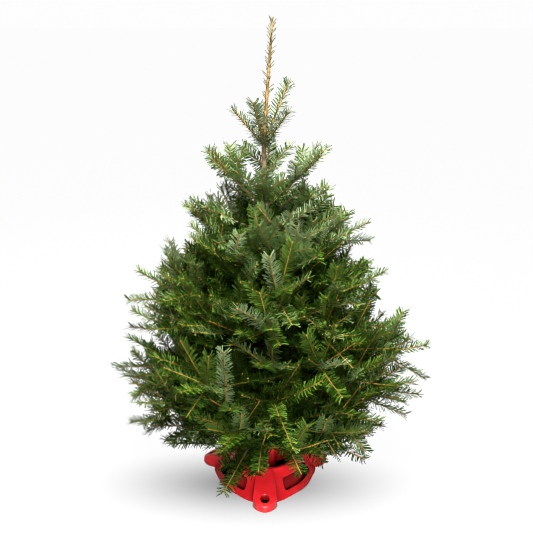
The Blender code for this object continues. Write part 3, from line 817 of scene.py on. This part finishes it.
def needle_pattern():
    """One needle, 1 long: a blunt blade of four faces, two above and two below."""
    points = [(0, -0.30, 0.25), (0, 0.30, -0.25), (1.0, 0.30, 0.25), (0.93, -0.40, -0.25)]
    mesh = mesh_of("needle", points, [(0, 1, 2), (0, 2, 3), (0, 1, 3), (1, 2, 3)])
    lower = mesh.attributes.new("underside", "BOOLEAN", "FACE")
    lower.data.foreach_set("value", [face.normal.z < 0 for face in mesh.polygons])
    return hidden_pattern("needle pattern", mesh)


# ---- Finishes -----------------------------------------------------------------------------------
def finish(name, colour, roughness, **more):
    """A Principled finish with plain values."""
    material = bpy.data.materials.new(name)
    material.use_nodes = True
    shader = material.node_tree.nodes["Principled BSDF"]
    shader.inputs["Base Color"].default_value = (*colour, 1.0)
    shader.inputs["Roughness"].default_value = roughness
    for key, value in more.items():
        shader.inputs[key.replace("_", " ")].default_value = value
    return material


def colour_ramp(tree, share, *stops):
    """Colours by a value: each stop is a place and a colour."""
    made = put(tree, "ShaderNodeValToRGB", _0=share)
    for mark, (place, colour) in zip(made.color_ramp.elements, stops):
        mark.position, mark.color = place, (*colour, 1.0)
    return made.outputs["Color"]


def mixed(tree, share, low, high):
    """A colour part of the way from low to high."""
    return made_by(tree, "ShaderNodeMix", {"data_type": "RGBA"}, Factor=share, A=low, B=high)


def mapped(tree, value, from_range, to_range=(0.0, 1.0), settings=None):
    """A value moved from one range to another, and held within it."""
    inputs = dict(zip(("From_Min", "From_Max", "To_Min", "To_Max"), (*from_range, *to_range)))
    return made_by(tree, "ShaderNodeMapRange", settings, Value=value, **inputs)


def cloud_at(tree, place, scale, detail=2.0):
    """Soft random patches, from 0 to 1."""
    return made_by(tree, "ShaderNodeTexNoise", Vector=place, Scale=scale, Detail=detail)


def set_shader(look, **links):
    """Feeds these sockets of a finish's shader, given by name, with _ for a space."""
    shader = look.node_tree.nodes["Principled BSDF"]
    for key, value in links.items():
        look.node_tree.links.new(value, shader.inputs[key.replace("_", " ")])


def set_relief(look, height, strength, distance):
    """Small relief on a finish."""
    bump = made_by(look.node_tree, "ShaderNodeBump", Strength=strength, Distance=distance, Height=height)
    set_shader(look, Normal=bump)


# ---- Needles ------------------------------------------------------------------------------------
# Each lot of needles: its name, the needles' spacing, and the colours of their upper sides, of those in the
# light, and of their undersides. The colour of those in the light is a painted highlight. The inner and
# deep lots are darkened as painted shade of the crown, and partly also stand for the darker tone of old
# needles.
NEEDLE_LOTS = (
    ("needles_inner", 0.0026, (0.002, 0.006, 0.001), (0.006, 0.013, 0.002), (0.005, 0.010, 0.002)),
    ("needles_deep", 0.0014, (0.006, 0.020, 0.001), (0.034, 0.076, 0.005), (0.020, 0.048, 0.004)),
    ("needles_middle", 0.00105, (0.012, 0.038, 0.001), (0.092, 0.166, 0.018), (0.064, 0.122, 0.014)),
    ("needles_blue", 0.0010, (0.015, 0.040, 0.003), (0.128, 0.196, 0.056), (0.102, 0.168, 0.046)),
    ("needles_fresh", 0.00105, (0.022, 0.060, 0.001), (0.125, 0.225, 0.022), (0.095, 0.178, 0.022)),
    ("needles_pale", 0.0010, (0.036, 0.070, 0.012), (0.250, 0.330, 0.140), (0.200, 0.280, 0.125)),
    ("needles_top", 0.0008, (0.045, 0.070, 0.026), (0.210, 0.265, 0.150), (0.160, 0.215, 0.115)),
)
INNER, DEEP, MIDDLE, BLUE, FRESH, PALE, TOP = range(len(NEEDLE_LOTS))
# The needles' sides: the finish they get, its name, its roughness and its gloss. The finish in the light is
# a painted highlight.
NEEDLE_SIDES = (
    ("Upper Finish", "above", 0.45, 0.05),
    ("Light Finish", "in the light", 0.45, 0.12),
    ("Lower Finish", "below", 0.60, 0.06),
)
LEADER_UPPER = (0.050, 0.060, 0.020)
LEADER_LOWER = (0.100, 0.100, 0.045)
# How the lots are dealt to the sprays: each lot up to its share, and the last one to the rest.
REST = math.inf
HANGING_DEAL = ((0.35, DEEP), (0.65, MIDDLE), (REST, BLUE))
MIXED_DEAL = ((0.40, DEEP), (REST, MIDDLE))
OUTER_DEAL = ((0.12, DEEP), (0.48, MIDDLE), (0.74, BLUE), (0.84, FRESH), (REST, PALE))
# Deeper in the shade than these, a shoot gets the inner lot, the deep one, or one of the mixed deal, whose
# darker colours are painted shade.
INNER_DEPTH = 0.66
DEEP_DEPTH = 0.50
MIXED_DEPTH = 0.38


def dealt_lot(deal, dealt):
    """The lot that a deal gives for this number."""
    return next(lot for share, lot in deal if dealt < share)


def needle_lot(shoot):
    """Which lot of needles a shoot gets, by its age, how deep in the crown it is, and its spray."""
    middle = shoot.points[1]
    dealt = random.Random(f"lot {shoot.spray}").random() + interpolate(PALER, middle.z)
    if middle.z > TOP_NODE and shoot.brush > 0.5:
        return TOP
    if middle.z < HANGING:
        return DEEP if middle.z < LOWEST else dealt_lot(HANGING_DEAL, dealt)
    # Painted shade: the deeper in the crown and the older a shoot is, the darker the lot that colours its
    # needles.
    inside = shaded(middle) + AGE_SHADE * shoot.age
    if inside > INNER_DEPTH:
        return INNER
    if inside > DEEP_DEPTH:
        return DEEP
    if inside > MIXED_DEPTH:
        return dealt_lot(MIXED_DEAL, dealt)
    lot = dealt_lot(OUTER_DEAL, dealt)
    return BLUE if lot in (MIDDLE, FRESH) and middle.z > BLUE_ABOVE else lot


def shoot_mesh(name, shoots):
    """The shoots' lines as edges, with what the needles need to know stored on their points."""
    points, edges, uppers, brushes = [], [], [], []
    for shoot in shoots:
        first, count = len(points), len(shoot.points)
        points += shoot.points
        edges += [(first + i, first + i + 1) for i in range(count - 1)]
        uppers += [*shoot.normal] * count
        brushes += [shoot.brush] * count
    return mesh_with(name, points, edges, upper=uppers, brush=brushes)


def parted(shoots, spacing):
    """The shoots in runs that each bear the needles of one piece."""
    runs, needles = [[]], 0
    for shoot in shoots:
        needles += (shoot.points[-1] - shoot.points[0]).length / spacing + 1
        if needles > PIECE_NEEDLES:
            runs.append([])
            needles = 0
        runs[-1].append(shoot)
    return runs


def needle_sizes(spacing, length, angles):
    """The sizes that one kind of needle runs the needles' tree with."""
    sizes = {"Spacing": spacing, "Length": length, "Width": NEEDLE_WIDTH, "Depth": NEEDLE_DEPTH}
    root_angle, tip_angle = (math.radians(angle) for angle in angles)
    return {**sizes, "Root Angle": root_angle, "Tip Angle": tip_angle}


def make_needles(crown):
    """One piece or more for each lot of needles."""
    tree, pattern = needle_tree(), needle_pattern()
    pieces = []
    for number, (name, spacing, *colours) in enumerate(NEEDLE_LOTS):
        shoots = [shoot for shoot in crown.shoots if needle_lot(shoot) == number]
        values = {"Needle": pattern, "Seed": number * SEED_STEP}
        values.update(needle_sizes(spacing, NEEDLE_LENGTH, NEEDLE_ANGLES))
        for (look, side, roughness, gloss), colour in zip(NEEDLE_SIDES, colours):
            values[look] = finish(f"{name} {side}", colour, roughness, Specular_IOR_Level=gloss)
        for index, run in enumerate(parted(shoots, spacing), 1):
            piece = f"{name}_{index}"
            pieces.append(run_tree(add_object(piece, shoot_mesh(piece, run)), tree, values))
    pieces.append(make_leader_needles(tree, values))
    bpy.data.objects.remove(pattern)
    return pieces


def make_leader_needles(tree, values):
    """Short needles on the leader's bark, otherwise as on the highest boughs."""
    values.update(needle_sizes(LEADER_NEEDLE_SPACING, LEADER_NEEDLE_LENGTH, LEADER_NEEDLE_ANGLES))
    values["Upper Finish"] = finish("leader needles above", LEADER_UPPER, 0.5, Specular_IOR_Level=0.1)
    values["Light Finish"] = values["Upper Finish"]
    values["Lower Finish"] = finish("leader needles below", LEADER_LOWER, 0.6, Specular_IOR_Level=0.1)
    piece = add_object("leader_needles", shoot_mesh("leader_needles", leader_shoots()))
    return run_tree(piece, tree, values)


def leader_shoots():
    """The leader as one shoot."""
    start, end = LEADER_NEEDLE_ENDS
    length = TREE_TOP - TOP_NODE - (start + end)
    heights = [TOP_NODE + start + length * i / LEADER_STEPS for i in range(LEADER_STEPS + 1)]
    return [Shoot(tuple(trunk_axis(height) for height in heights), Vector((0, -1, 0)), 0, 1.0, 0)]


# ---- Twigs --------------------------------------------------------------------------------------
def twig_tree():
    """Bark round the twigs' lines, as thick as the radius stored on their points."""
    tree, given = start_tree("twigs", [("Sides", "Int"), ("Relief", "Float"), ("Finish", "Material")])
    radius = attribute(tree, "radius")
    curves = made_by(tree, "GeometryNodeMeshToCurve", Mesh=given["Geometry"])
    curves = made_by(tree, "GeometryNodeSetCurveRadius", Curve=curves, Radius=radius)
    ring = made_by(tree, "GeometryNodeCurvePrimitiveCircle", Resolution=given["Sides"], Radius=1.0)
    settings = {"Profile_Curve": ring, "Scale": radius, "Fill_Caps": True}
    tube = made_by(tree, "GeometryNodeCurveToMesh", Curve=curves, **settings)
    lumps = cloud_at(tree, made_by(tree, "GeometryNodeInputPosition"), BOUGH_LUMPS)
    rise = calculate(tree, "MULTIPLY", calculate(tree, "SUBTRACT", lumps, 0.5), given["Relief"])
    offset = vector(tree, "SCALE", made_by(tree, "GeometryNodeInputNormal"), Scale=rise)
    uneven = made_by(tree, "GeometryNodeSetPosition", Geometry=tube, Offset=offset)
    solid = made_by(tree, "GeometryNodeRealizeInstances", Geometry=uneven)
    return end_tree(tree, covered(tree, solid, given["Finish"]))


def bark_finish(name):
    """Bark that goes from a dark colour to a pale one in soft patches, with a fine grain."""
    fineness, dark, pale, grain_depth = BARKS[name]
    look = finish(name, dark, 0.75, Specular_IOR_Level=0.12)
    tree = look.node_tree
    place = put(tree, "ShaderNodeTexCoord").outputs["Object"]
    patch, grain = cloud_at(tree, place, fineness), cloud_at(tree, place, BARK_GRAIN)
    shade = calculate(tree, "MULTIPLY_ADD", grain, 0.4, calculate(tree, "MULTIPLY", patch, 0.6))
    set_shader(look, Base_Color=colour_ramp(tree, shade, (0.40, dark), (0.60, pale)))
    set_relief(look, grain, 0.6, grain_depth)
    return look


def twig_mesh(name, axes):
    """The twigs' lines as edges, with their radius stored on their points."""
    points, edges, radii = [], [], []
    for axis in axes:
        first = len(points)
        line = axis.points
        if axis.old:
            steps = len(line) * OLD_DETAIL
            line = [along(line, i / steps)[0] for i in range(steps + 1)]
        gain = TOP_TWIG_GAIN if line[0].z > TOP_NODE - TOP_ROOM else 1.0
        left = axis.beyond + length_of(line)
        for i, point in enumerate(line):
            if i:
                left -= (point - line[i - 1]).length
                edges.append((first + i - 1, first + i))
            radii.append((YOUNG_TWIG_RADIUS + TWIG_GROWTH * max(left, 0)) * gain)
        points += line
    return mesh_with(name, points, edges, radius=radii)


# Each piece of twigs: its name, how many sides a twig has, how uneven its bark is, and the bark.
TWIG_KINDS = (
    ("twigs", 3, 0.0, "young bark"),
    ("twigs_inner", 3, 0.0, "shade-painted bark"),
    ("boughs", 7, BOUGH_RELIEF, "bough bark"),
)


def make_twigs(crown):
    """Three pieces: the twigs in the light, those deep in the crown, whose bark is painted dark as shade,
    and the old wood of the boughs.
    """
    lots = {name: [] for name, *_ in TWIG_KINDS}
    for axis in crown.axes:
        middle = axis.points[len(axis.points) // 2]
        outer = shaded(middle) < INNER_TWIGS or middle.z > TOP_NODE
        lots["boughs" if axis.old else "twigs" if outer else "twigs_inner"].append(axis)
    tree = twig_tree()
    pieces = []
    for name, sides, relief, bark in TWIG_KINDS:
        values = {"Sides": sides, "Relief": relief, "Finish": bark_finish(bark)}
        pieces.append(run_tree(add_object(name, twig_mesh(name, lots[name])), tree, values))
    return pieces


# ---- Buds ---------------------------------------------------------------------------------------
def bud_tree():
    """A bud on each point, along the direction and at the size stored there."""
    inputs = [("Bud", "Object"), ("Length", "Float"), ("Width", "Float"), ("Finish", "Material")]
    tree, given = start_tree("buds", inputs)
    size = made_by(tree, "ShaderNodeCombineXYZ", X=given["Length"], Y=given["Width"], Z=given["Width"])
    size = vector(tree, "SCALE", size, Scale=attribute(tree, "size"))
    points = made_by(tree, "GeometryNodeMeshToPoints", Mesh=given["Geometry"])
    placed = copies(tree, points, given["Bud"], size, Primary_Axis=attribute(tree, "ahead", "FLOAT_VECTOR"))
    solid = made_by(tree, "GeometryNodeRealizeInstances", Geometry=placed)
    return end_tree(tree, covered(tree, solid, given["Finish"]))


def bud_pattern():
    """One bud, 1 long and 1 wide: an egg of a few faces."""
    rings, sides = ((0.12, 0.36), (0.52, 0.50)), 5
    points = [(0, 0, 0), (1, 0, 0)]
    for place, radius in rings:
        points += [(place, x, y) for x, y, _ in ring_of(radius, sides, 0)]
    faces = []
    for corner in range(sides):
        a, b = 2 + corner, 2 + (corner + 1) % sides
        faces += [(0, b, a), (a, b, b + sides, a + sides), (a + sides, b + sides, 1)]
    mesh = bpy.data.meshes.new("bud")
    mesh.from_pydata(points, [], faces)
    mesh.shade_smooth()
    return hidden_pattern("bud pattern", mesh)


def make_buds(crown):
    """The buds at the tips: one ahead and one to each side of it."""
    chance = random.Random("buds")
    points, aheads, sizes = [], [], []
    tips = crown.buds + [(trunk_axis(TREE_TOP) - UP * BUD_LENGTH, UP)]
    for place, course in tips:
        if shaded(place) > INNER_TWIGS and place.z < TOP_NODE:
            continue
        side = course.orthogonal().normalized()
        side.rotate(Matrix.Rotation(chance.uniform(0, math.tau), 3, course))
        for lean, size in BUD_GROUP:
            points.append(place)
            aheads.extend((course + side * lean).normalized())
            sizes.append(size * chance.uniform(*BUD_SPREAD))
    pattern = bud_pattern()
    look = bark_finish("bud scales")
    values = {"Bud": pattern, "Length": BUD_LENGTH, "Width": BUD_WIDTH, "Finish": look}
    piece = add_object("buds", mesh_with("buds", points, [], ahead=aheads, size=sizes))
    run_tree(piece, bud_tree(), values)
    bpy.data.objects.remove(pattern)
    return piece


# ---- The trunk ----------------------------------------------------------------------------------
def trunk_finish():
    """Grey-brown bark below that turns to the tan of the young leader, mottled all over."""
    look = finish("trunk bark", (0.14, 0.09, 0.05), 0.8, Specular_IOR_Level=0.25)
    tree = look.node_tree
    place = put(tree, "ShaderNodeTexCoord").outputs["Object"]
    height = put(tree, "ShaderNodeSeparateXYZ", Vector=place).outputs["Z"]
    mottle = cloud_at(tree, place, TRUNK_MOTTLE, 3.0)
    old = colour_ramp(tree, mottle, (0.35, (0.044, 0.034, 0.020)), (0.62, (0.135, 0.108, 0.062)))
    young = colour_ramp(tree, mottle, (0.40, (0.100, 0.055, 0.014)), (0.60, (0.300, 0.170, 0.048)))
    set_shader(look, Base_Color=mixed(tree, mapped(tree, height, YOUNG_BARK), old, young))
    set_relief(look, mottle, 0.5, 0.002)
    return look


def make_trunk():
    """The trunk's bark, from the socket's floor to the leader's tip, a little uneven all over."""
    sections = []
    foot = SOCKET_FLOOR + GAP
    for step in range(TRUNK_STEPS + 1):
        height = foot + (TREE_TOP - SOCKET_FLOOR - GAP) * step / TRUNK_STEPS
        middle, radius = trunk_axis(height), interpolate(TRUNK_RADII, height)
        section = []
        for corner in range(TRUNK_SIDES):
            turn = 2 * math.pi * corner / TRUNK_SIDES
            out = Vector((math.cos(turn), math.sin(turn), 0))
            place = middle + out * radius
            relief = sum(noise.noise(place * fineness) * share for fineness, share in TRUNK_RELIEF)
            section.append(middle + out * (radius + relief * radius))
        sections.append(section)
    mesh = mesh_of("trunk_bark", *loft(sections))
    mesh.shade_smooth()
    mesh.materials.append(trunk_finish())
    return add_object("trunk_bark", mesh)


# ---- The stand ----------------------------------------------------------------------------------
def plastic_shade(tree, place):
    """How much of the plastic's colour the painted shade leaves: less in its recesses, least behind its
    windows.
    """
    settings = {"samples": 8, "only_local": True}
    near = put(tree, "ShaderNodeAmbientOcclusion", settings, Distance=RECESS_REACH).outputs["AO"]
    recess = calculate(tree, "POWER", near, RECESS_POWER)
    # The skirt behind the windows stands inside a cone that narrows upwards to the lip.
    height = put(tree, "ShaderNodeSeparateXYZ", Vector=place).outputs["Z"]
    out = vector(tree, "LENGTH", vector(tree, "MULTIPLY", place, (1.0, 1.0, 0.0)))
    lean = calculate(tree, "MULTIPLY", height, (SKIRT_FOOT - LIP_RADIUS) / RIM_HEIGHT)
    cone = [SKIRT_FOOT + clear for clear in BEHIND_WINDOWS]
    outside = mapped(tree, calculate(tree, "ADD", out, lean), cone)
    on_top = mapped(tree, height, [RIM_HEIGHT - below for below in UNDER_RIM])
    seen = mapped(tree, calculate(tree, "MAXIMUM", outside, on_top), (0.0, 1.0), (BEHIND_SHADE, 1.0))
    return calculate(tree, "MULTIPLY", recess, seen)


def plastic_finish():
    """Red plastic with a soft, slightly uneven gloss and a faint grain, its colour darkened as painted
    shade in its recesses and behind its windows.
    """
    look = finish("red plastic", (0.84, 0.016, 0.024), 0.32)
    tree = look.node_tree
    place = put(tree, "ShaderNodeTexCoord").outputs["Object"]
    cloud = cloud_at(tree, place, 22.0)
    red = colour_ramp(tree, cloud, (0.30, (0.78, 0.012, 0.018)), (0.70, (0.90, 0.020, 0.028)))
    # Painted shade: the red turns to near black in the recesses and behind the windows.
    red = mixed(tree, plastic_shade(tree, place), (0.03, 0.0, 0.0, 1.0), red)
    set_shader(look, Base_Color=red, Roughness=mapped(tree, cloud, (0.3, 0.7), (0.26, 0.40)))
    set_relief(look, cloud_at(tree, place, 850.0), 0.25, 0.0004)
    return look


def foot_azimuth(index):
    """Where a foot points."""
    return FIRST_FOOT + index * 360.0 / FOOT_COUNT


def ring_radius(azimuth, height):
    """The outside of the ring's sloping wall, which is fuller on the floor towards the feet."""
    from_foot = (1 + math.cos(math.radians((azimuth - FIRST_FOOT) * FOOT_COUNT))) / 2
    floor = RING_RADIUS + RING_BULGE * from_foot**BULGE_POWER
    return floor + (RIM_RADIUS - floor) * height / RIM_HEIGHT


def ring_solid(name, levels):
    """A solid round the axis through rings. Each level gives the height that the wall's radius is read at,
    how far inside the wall the ring is, a fixed radius instead of these (0 for none), and its own height.
    """
    sections = []
    for wall_height, inset, fixed, height in levels:
        ring = []
        for step in range(RING_STEPS):
            azimuth = 360.0 / RING_STEPS * step - FIRST_FOOT
            radius = fixed if fixed else ring_radius(azimuth, wall_height) - inset
            turn = math.radians(azimuth)
            ring.append((radius * math.cos(turn), radius * math.sin(turn), height))
        sections.append(ring)
    return mesh_of(name, *loft(sections))


def across_section(low_x, top_x, low_half, top_half, floor, top):
    """Four corners of a section across the +X direction, each side sloping as it is given."""
    low = [(low_x, -low_half, floor), (low_x, low_half, floor)]
    return low + [(top_x, top_half, top), (top_x, -top_half, top)]


def foot_sections(inset, floor):
    """Sections of a foot along +X: a ramp down from the rim, then a round toe whose wall leans out."""
    sections = []
    for top_x, low_x, height, half in RAMP:
        half -= inset
        sections.append(across_section(low_x, top_x, half + RAMP_DRAFT, half, floor, height - inset))
    for turn in TOE_TURNS:
        height = interpolate(TOE_HEIGHTS, turn) - inset
        ahead, aside = math.sin(math.radians(turn)), math.cos(math.radians(turn))
        half = (TOE_RADIUS - inset) * aside
        low_half = half + TOE_SIDE_DRAFT * aside
        low_x = TOE_FLOOR_MIDDLE + (TOE_FLOOR_REACH - inset) * ahead
        top_x = TOE_TOP_MIDDLE + (TOE_RADIUS - TOE_DRAFT - inset) * ahead
        sections.append(across_section(low_x, top_x, low_half, half, floor, height))
    return sections


def window_cutter(foot):
    """A curved block that cuts one long window with round corners out of the ring's wall."""
    start, end = (foot_azimuth(foot) + turn for turn in WINDOW_SPAN)
    low, high = WINDOW_LEVELS
    corner_turn = math.degrees(WINDOW_CORNER / ((RING_RADIUS + RIM_RADIUS) / 2))
    eased = []
    for turn in range(0, 91, 10):
        turn = math.radians(turn)
        eased.append((corner_turn * (1 - math.cos(turn)), WINDOW_CORNER * (1 - math.sin(turn))))
    columns = [(start + turn, drop) for turn, drop in eased]
    span = end - start - 2 * corner_turn
    columns += [(start + corner_turn + span * i / WINDOW_STEPS, 0.0) for i in range(1, WINDOW_STEPS)]
    columns += [(end - turn, drop) for turn, drop in reversed(eased)]
    sections = []
    for azimuth, drop in columns:
        near, far = (outward(azimuth) * radius for radius in WINDOW_REACH)
        bottom, top = UP * (low + drop), UP * (high - drop)
        sections.append([near + bottom, far + bottom, far + top, near + top])
    return mesh_of("window", *loft(sections))


def brace_block(inner, outer, half, floor, lift):
    """A block along +X between two radii. Its top slopes down from the socket to the rim."""
    sections = []
    for x in (inner, outer):
        share = (x - SOCKET_BORE) / (RIM_RADIUS - SOCKET_BORE)
        top = BRACE_TOP + (RIM_HEIGHT - LIP_DEPTH - BRACE_TOP) * share + lift
        sections.append(across_section(x, x, half, half, floor, top))
    return loft(sections)


def turned_part(name, shape, azimuth):
    """A shape made along +X, turned to an azimuth."""
    points, faces = shape
    turn = Matrix.Rotation(math.radians(azimuth), 3, "Z")
    return add_object(name, mesh_of(name, [turn @ Vector(p) for p in points], faces))


def peg_cylinder(name, radius, low, azimuth):
    """A cylinder on a foot's peg hole, from this low up to the rim's height."""
    profile = [(0, low), (radius, low), (radius, RIM_HEIGHT), (0, RIM_HEIGHT)]
    points, faces = lathe(profile, PEG_HOLE_STEPS)
    return turned_part(name, ([(x + PEG_HOLE_CIRCLE, y, z) for x, y, z in points], faces), azimuth)


def hollow_shape(below, above):
    """The space inside the ring's wall, and the opening inside its lip."""
    under_lip = RIM_HEIGHT - LIP_DEPTH
    levels = ((0, SHELL, 0, below), (0, SHELL, 0, 0), (under_lip, SHELL, 0, under_lip))
    levels += ((0, 0, LIP_RADIUS, under_lip), (0, 0, LIP_RADIUS, RIM_HEIGHT + above))
    return ring_solid("hollow", levels)


def foot_cavity(azimuth, below):
    """The hollow under a foot, with the peg hole's collar left standing in it."""
    cavity = turned_part("cavity", loft(foot_sections(SHELL, below)[1:]), azimuth)
    return combine(cavity, [peg_cylinder("collar", COLLAR_RADIUS, COLLAR_LOW, azimuth)], "DIFFERENCE")


def skirt_shape():
    """The wall inside the ring, which leans out from the lip to its foot."""
    top = RIM_HEIGHT - LIP_DEPTH / 2
    profile = [(SKIRT_FOOT, SKIRT_LOW), (SKIRT_FOOT + SKIRT, SKIRT_LOW)]
    profile += [(LIP_RADIUS + SKIRT, top), (LIP_RADIUS, top)]
    return mesh_of("skirt", *lathe(profile, RING_STEPS))


def socket_shape():
    """The cup that the trunk stands in."""
    profile = [(0, 0), (SOCKET_RADIUS, 0), (SOCKET_RADIUS, SOCKET_HEIGHT)]
    profile += [(SOCKET_BORE, SOCKET_HEIGHT), (SOCKET_BORE, SOCKET_FLOOR), (0, SOCKET_FLOOR)]
    return mesh_of("socket", *lathe(profile, SOCKET_STEPS))


def make_brace(azimuth, above):
    """A brace from the socket to the rim, with a channel along its top."""
    past_bore, past_rim = BRACE_ENDS
    half = BRACE_WIDTH / 2
    block = brace_block(SOCKET_BORE + past_bore, RIM_RADIUS + past_rim, half, BRACE_FOOT, 0.0)
    channel = brace_block(SOCKET_RADIUS, LIP_RADIUS - GAP, half - SHELL, BRACE_FOOT + SHELL, above)
    brace = turned_part("brace", block, azimuth)
    return combine(brace, [turned_part("channel", channel, azimuth)], "DIFFERENCE")


def round_off(stand):
    """Softens every edge, and keeps as many faces as that takes."""
    even = stand.modifiers.new("even faces", "REMESH")
    even.mode, even.voxel_size = "VOXEL", STAND_VOXEL
    soft = stand.modifiers.new("round edges", "SMOOTH")
    soft.factor, soft.iterations = STAND_SMOOTHING
    stand.modifiers.new("fewer faces", "DECIMATE").ratio = STAND_SHARE
    keep_result(stand)
    stand.data.shade_smooth()


def make_stand():
    """One moulding with round edges: a ring with three windows, three feet, a socket and its braces."""
    stand = add_object("stand_moulding", ring_solid("ring", ((0, 0, 0, 0), (RIM_HEIGHT, 0, 0, RIM_HEIGHT))))
    azimuths = [foot_azimuth(i) for i in range(FOOT_COUNT)]
    below, above = -0.020, 0.020  # how far a block that cuts goes past the floor, and past the rim
    combine(stand, [turned_part("foot", loft(foot_sections(0.0, 0.0)), a) for a in azimuths])
    combine(stand, [add_object("hollow", hollow_shape(below, above))], "DIFFERENCE")
    combine(stand, [foot_cavity(a, below) for a in azimuths], "DIFFERENCE")
    combine(stand, [add_object("window", window_cutter(i)) for i in range(FOOT_COUNT)], "DIFFERENCE")
    combine(stand, [peg_cylinder("hole", PEG_HOLE_RADIUS, below, a) for a in azimuths], "DIFFERENCE")
    combine(stand, [add_object("skirt", skirt_shape())])
    combine(stand, [add_object("socket", socket_shape())] + [make_brace(a, above) for a in azimuths])
    round_off(stand)
    stand.data.materials.clear()
    stand.data.materials.append(plastic_finish())
    return stand


# ---- The studio ---------------------------------------------------------------------------------
def make_world():
    """A white surround that lights the tree less than it shows, so that the crown keeps its depth."""
    world = bpy.data.worlds.new("studio")
    bpy.context.scene.world = world
    world.use_nodes = True
    tree = world.node_tree
    seen = put(tree, "ShaderNodeLightPath").outputs["Is Camera Ray"]
    background = tree.nodes["Background"]
    background.inputs["Color"].default_value = (1, 1, 1, 1)
    tree.links.new(blend(tree, AMBIENT, SURROUND, seen), background.inputs["Strength"])


def stand_distance(tree, place):
    """How far a point of the floor is from what the stand covers."""
    near = calculate(tree, "SUBTRACT", vector(tree, "DISTANCE", place, (0, 0, 0)), RING_FLOOR)
    for index in range(FOOT_COUNT):
        turn = math.radians(foot_azimuth(index))
        for out, radius in FOOT_FLOORS:
            middle = (out * math.cos(turn), out * math.sin(turn), 0)
            edge = calculate(tree, "SUBTRACT", vector(tree, "DISTANCE", place, middle), radius)
            near = calculate(tree, "MINIMUM", near, edge)
    return near


def floor_finish():
    """White paper that glows to the camera, with a wide soft shadow painted round the stand, and painted
    dark under it.
    """
    look = finish("studio floor", (FLOOR_PALE,) * 3, 0.9, Specular_IOR_Level=0.0)
    tree = look.node_tree
    place = put(tree, "ShaderNodeTexCoord").outputs["Object"]
    long = vector(tree, "MULTIPLY", place, (1.0, SHADE_SHAPE, 1.0))
    middle = (SHADE_MIDDLE[0], SHADE_MIDDLE[1] * SHADE_SHAPE, 0)
    soft = {"interpolation_type": "SMOOTHSTEP"}
    # Painted shadow: the glow turns from white to dark near the stand, and is cleared to black under it.
    glow = mapped(tree, vector(tree, "DISTANCE", long, middle), SHADE_SPAN, SHADE_WHITE, soft)
    clear = mapped(tree, stand_distance(tree, place), (0.0, FLOOR_EDGE), settings=soft)
    seen = put(tree, "ShaderNodeLightPath").outputs["Is Camera Ray"]
    shown = calculate(tree, "MULTIPLY", calculate(tree, "MULTIPLY", glow, clear), seen)
    grey = calculate(tree, "MULTIPLY", blend(tree, FLOOR_PALE, FLOOR_SEEN, seen), clear)
    tree.nodes["Principled BSDF"].inputs["Emission Color"].default_value = (1, 1, 1, 1)
    set_shader(look, Emission_Strength=shown, Base_Color=grey)
    return look


def make_floor():
    """A floor so wide that no edge of it shows."""
    reach = FLOOR_HALF
    mesh = bpy.data.meshes.new("floor")
    corners = [(-reach, -reach, 0), (reach, -reach, 0), (reach, reach, 0), (-reach, reach, 0)]
    mesh.from_pydata(corners, [], [(0, 1, 2, 3)])
    mesh.materials.append(floor_finish())
    floor = add_object("floor", mesh)


def add_light(name, kind, place, target, energy, **settings):
    """A light at a place, turned to what it faces."""
    lamp = bpy.data.lights.new(name, kind)
    for key, value in {"energy": energy, **settings}.items():
        setattr(lamp, key, value)
    light = add_object(name, lamp)
    light.location = place
    light.rotation_euler = (Vector(target) - Vector(place)).to_track_quat("-Z", "Y").to_euler()


def make_camera():
    """The camera in front of the tree."""
    lens = bpy.data.cameras.new("camera")
    lens.lens, lens.sensor_width = CAMERA_LENS, CAMERA_SENSOR
    camera = add_object("camera", lens)
    camera.location = CAMERA_PLACE
    camera.rotation_euler = (math.radians(90 - CAMERA_DIP), 0, 0)
    bpy.context.scene.camera = camera


def make_studio():
    """The surround, the floor, the lights and the camera."""
    make_world()
    make_floor()
    for name, place, target, size, energy in SOFT_LIGHTS:
        add_light(name, "AREA", place, target, energy, size=size)
    cone = {"spot_size": math.radians(STAND_LIGHT_CONE), "spot_blend": 1.0}
    add_light("stand light", "SPOT", *STAND_LIGHT, shadow_soft_size=STAND_LIGHT_SIZE, **cone)
    make_camera()
    bpy.context.scene.view_settings.view_transform = "Standard"
    bpy.context.scene.cycles.filter_width = 1.0


def main():
    """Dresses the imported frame."""
    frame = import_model()
    make_studio()
    crown = grow_crown()
    masses = [node for node in frame["nodes"] if "foliage" in node]
    limbs = [node for node in frame["nodes"] if "_bough_" in node]
    needles = make_needles(crown)
    twigs, inner, boughs = make_twigs(crown)
    trunk = make_trunk()
    buds = make_buds(crown)
    for piece in needles:
        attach(piece, "root")
        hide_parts(*masses)
    for piece in (twigs, inner, boughs, trunk, buds):
        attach(piece, "root")
    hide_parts(*masses)
    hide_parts(*masses)
    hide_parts(*masses)
    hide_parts(*limbs)
    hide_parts("trunk")
    stand = make_stand()
    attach(stand, "root")
    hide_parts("stand")


main()
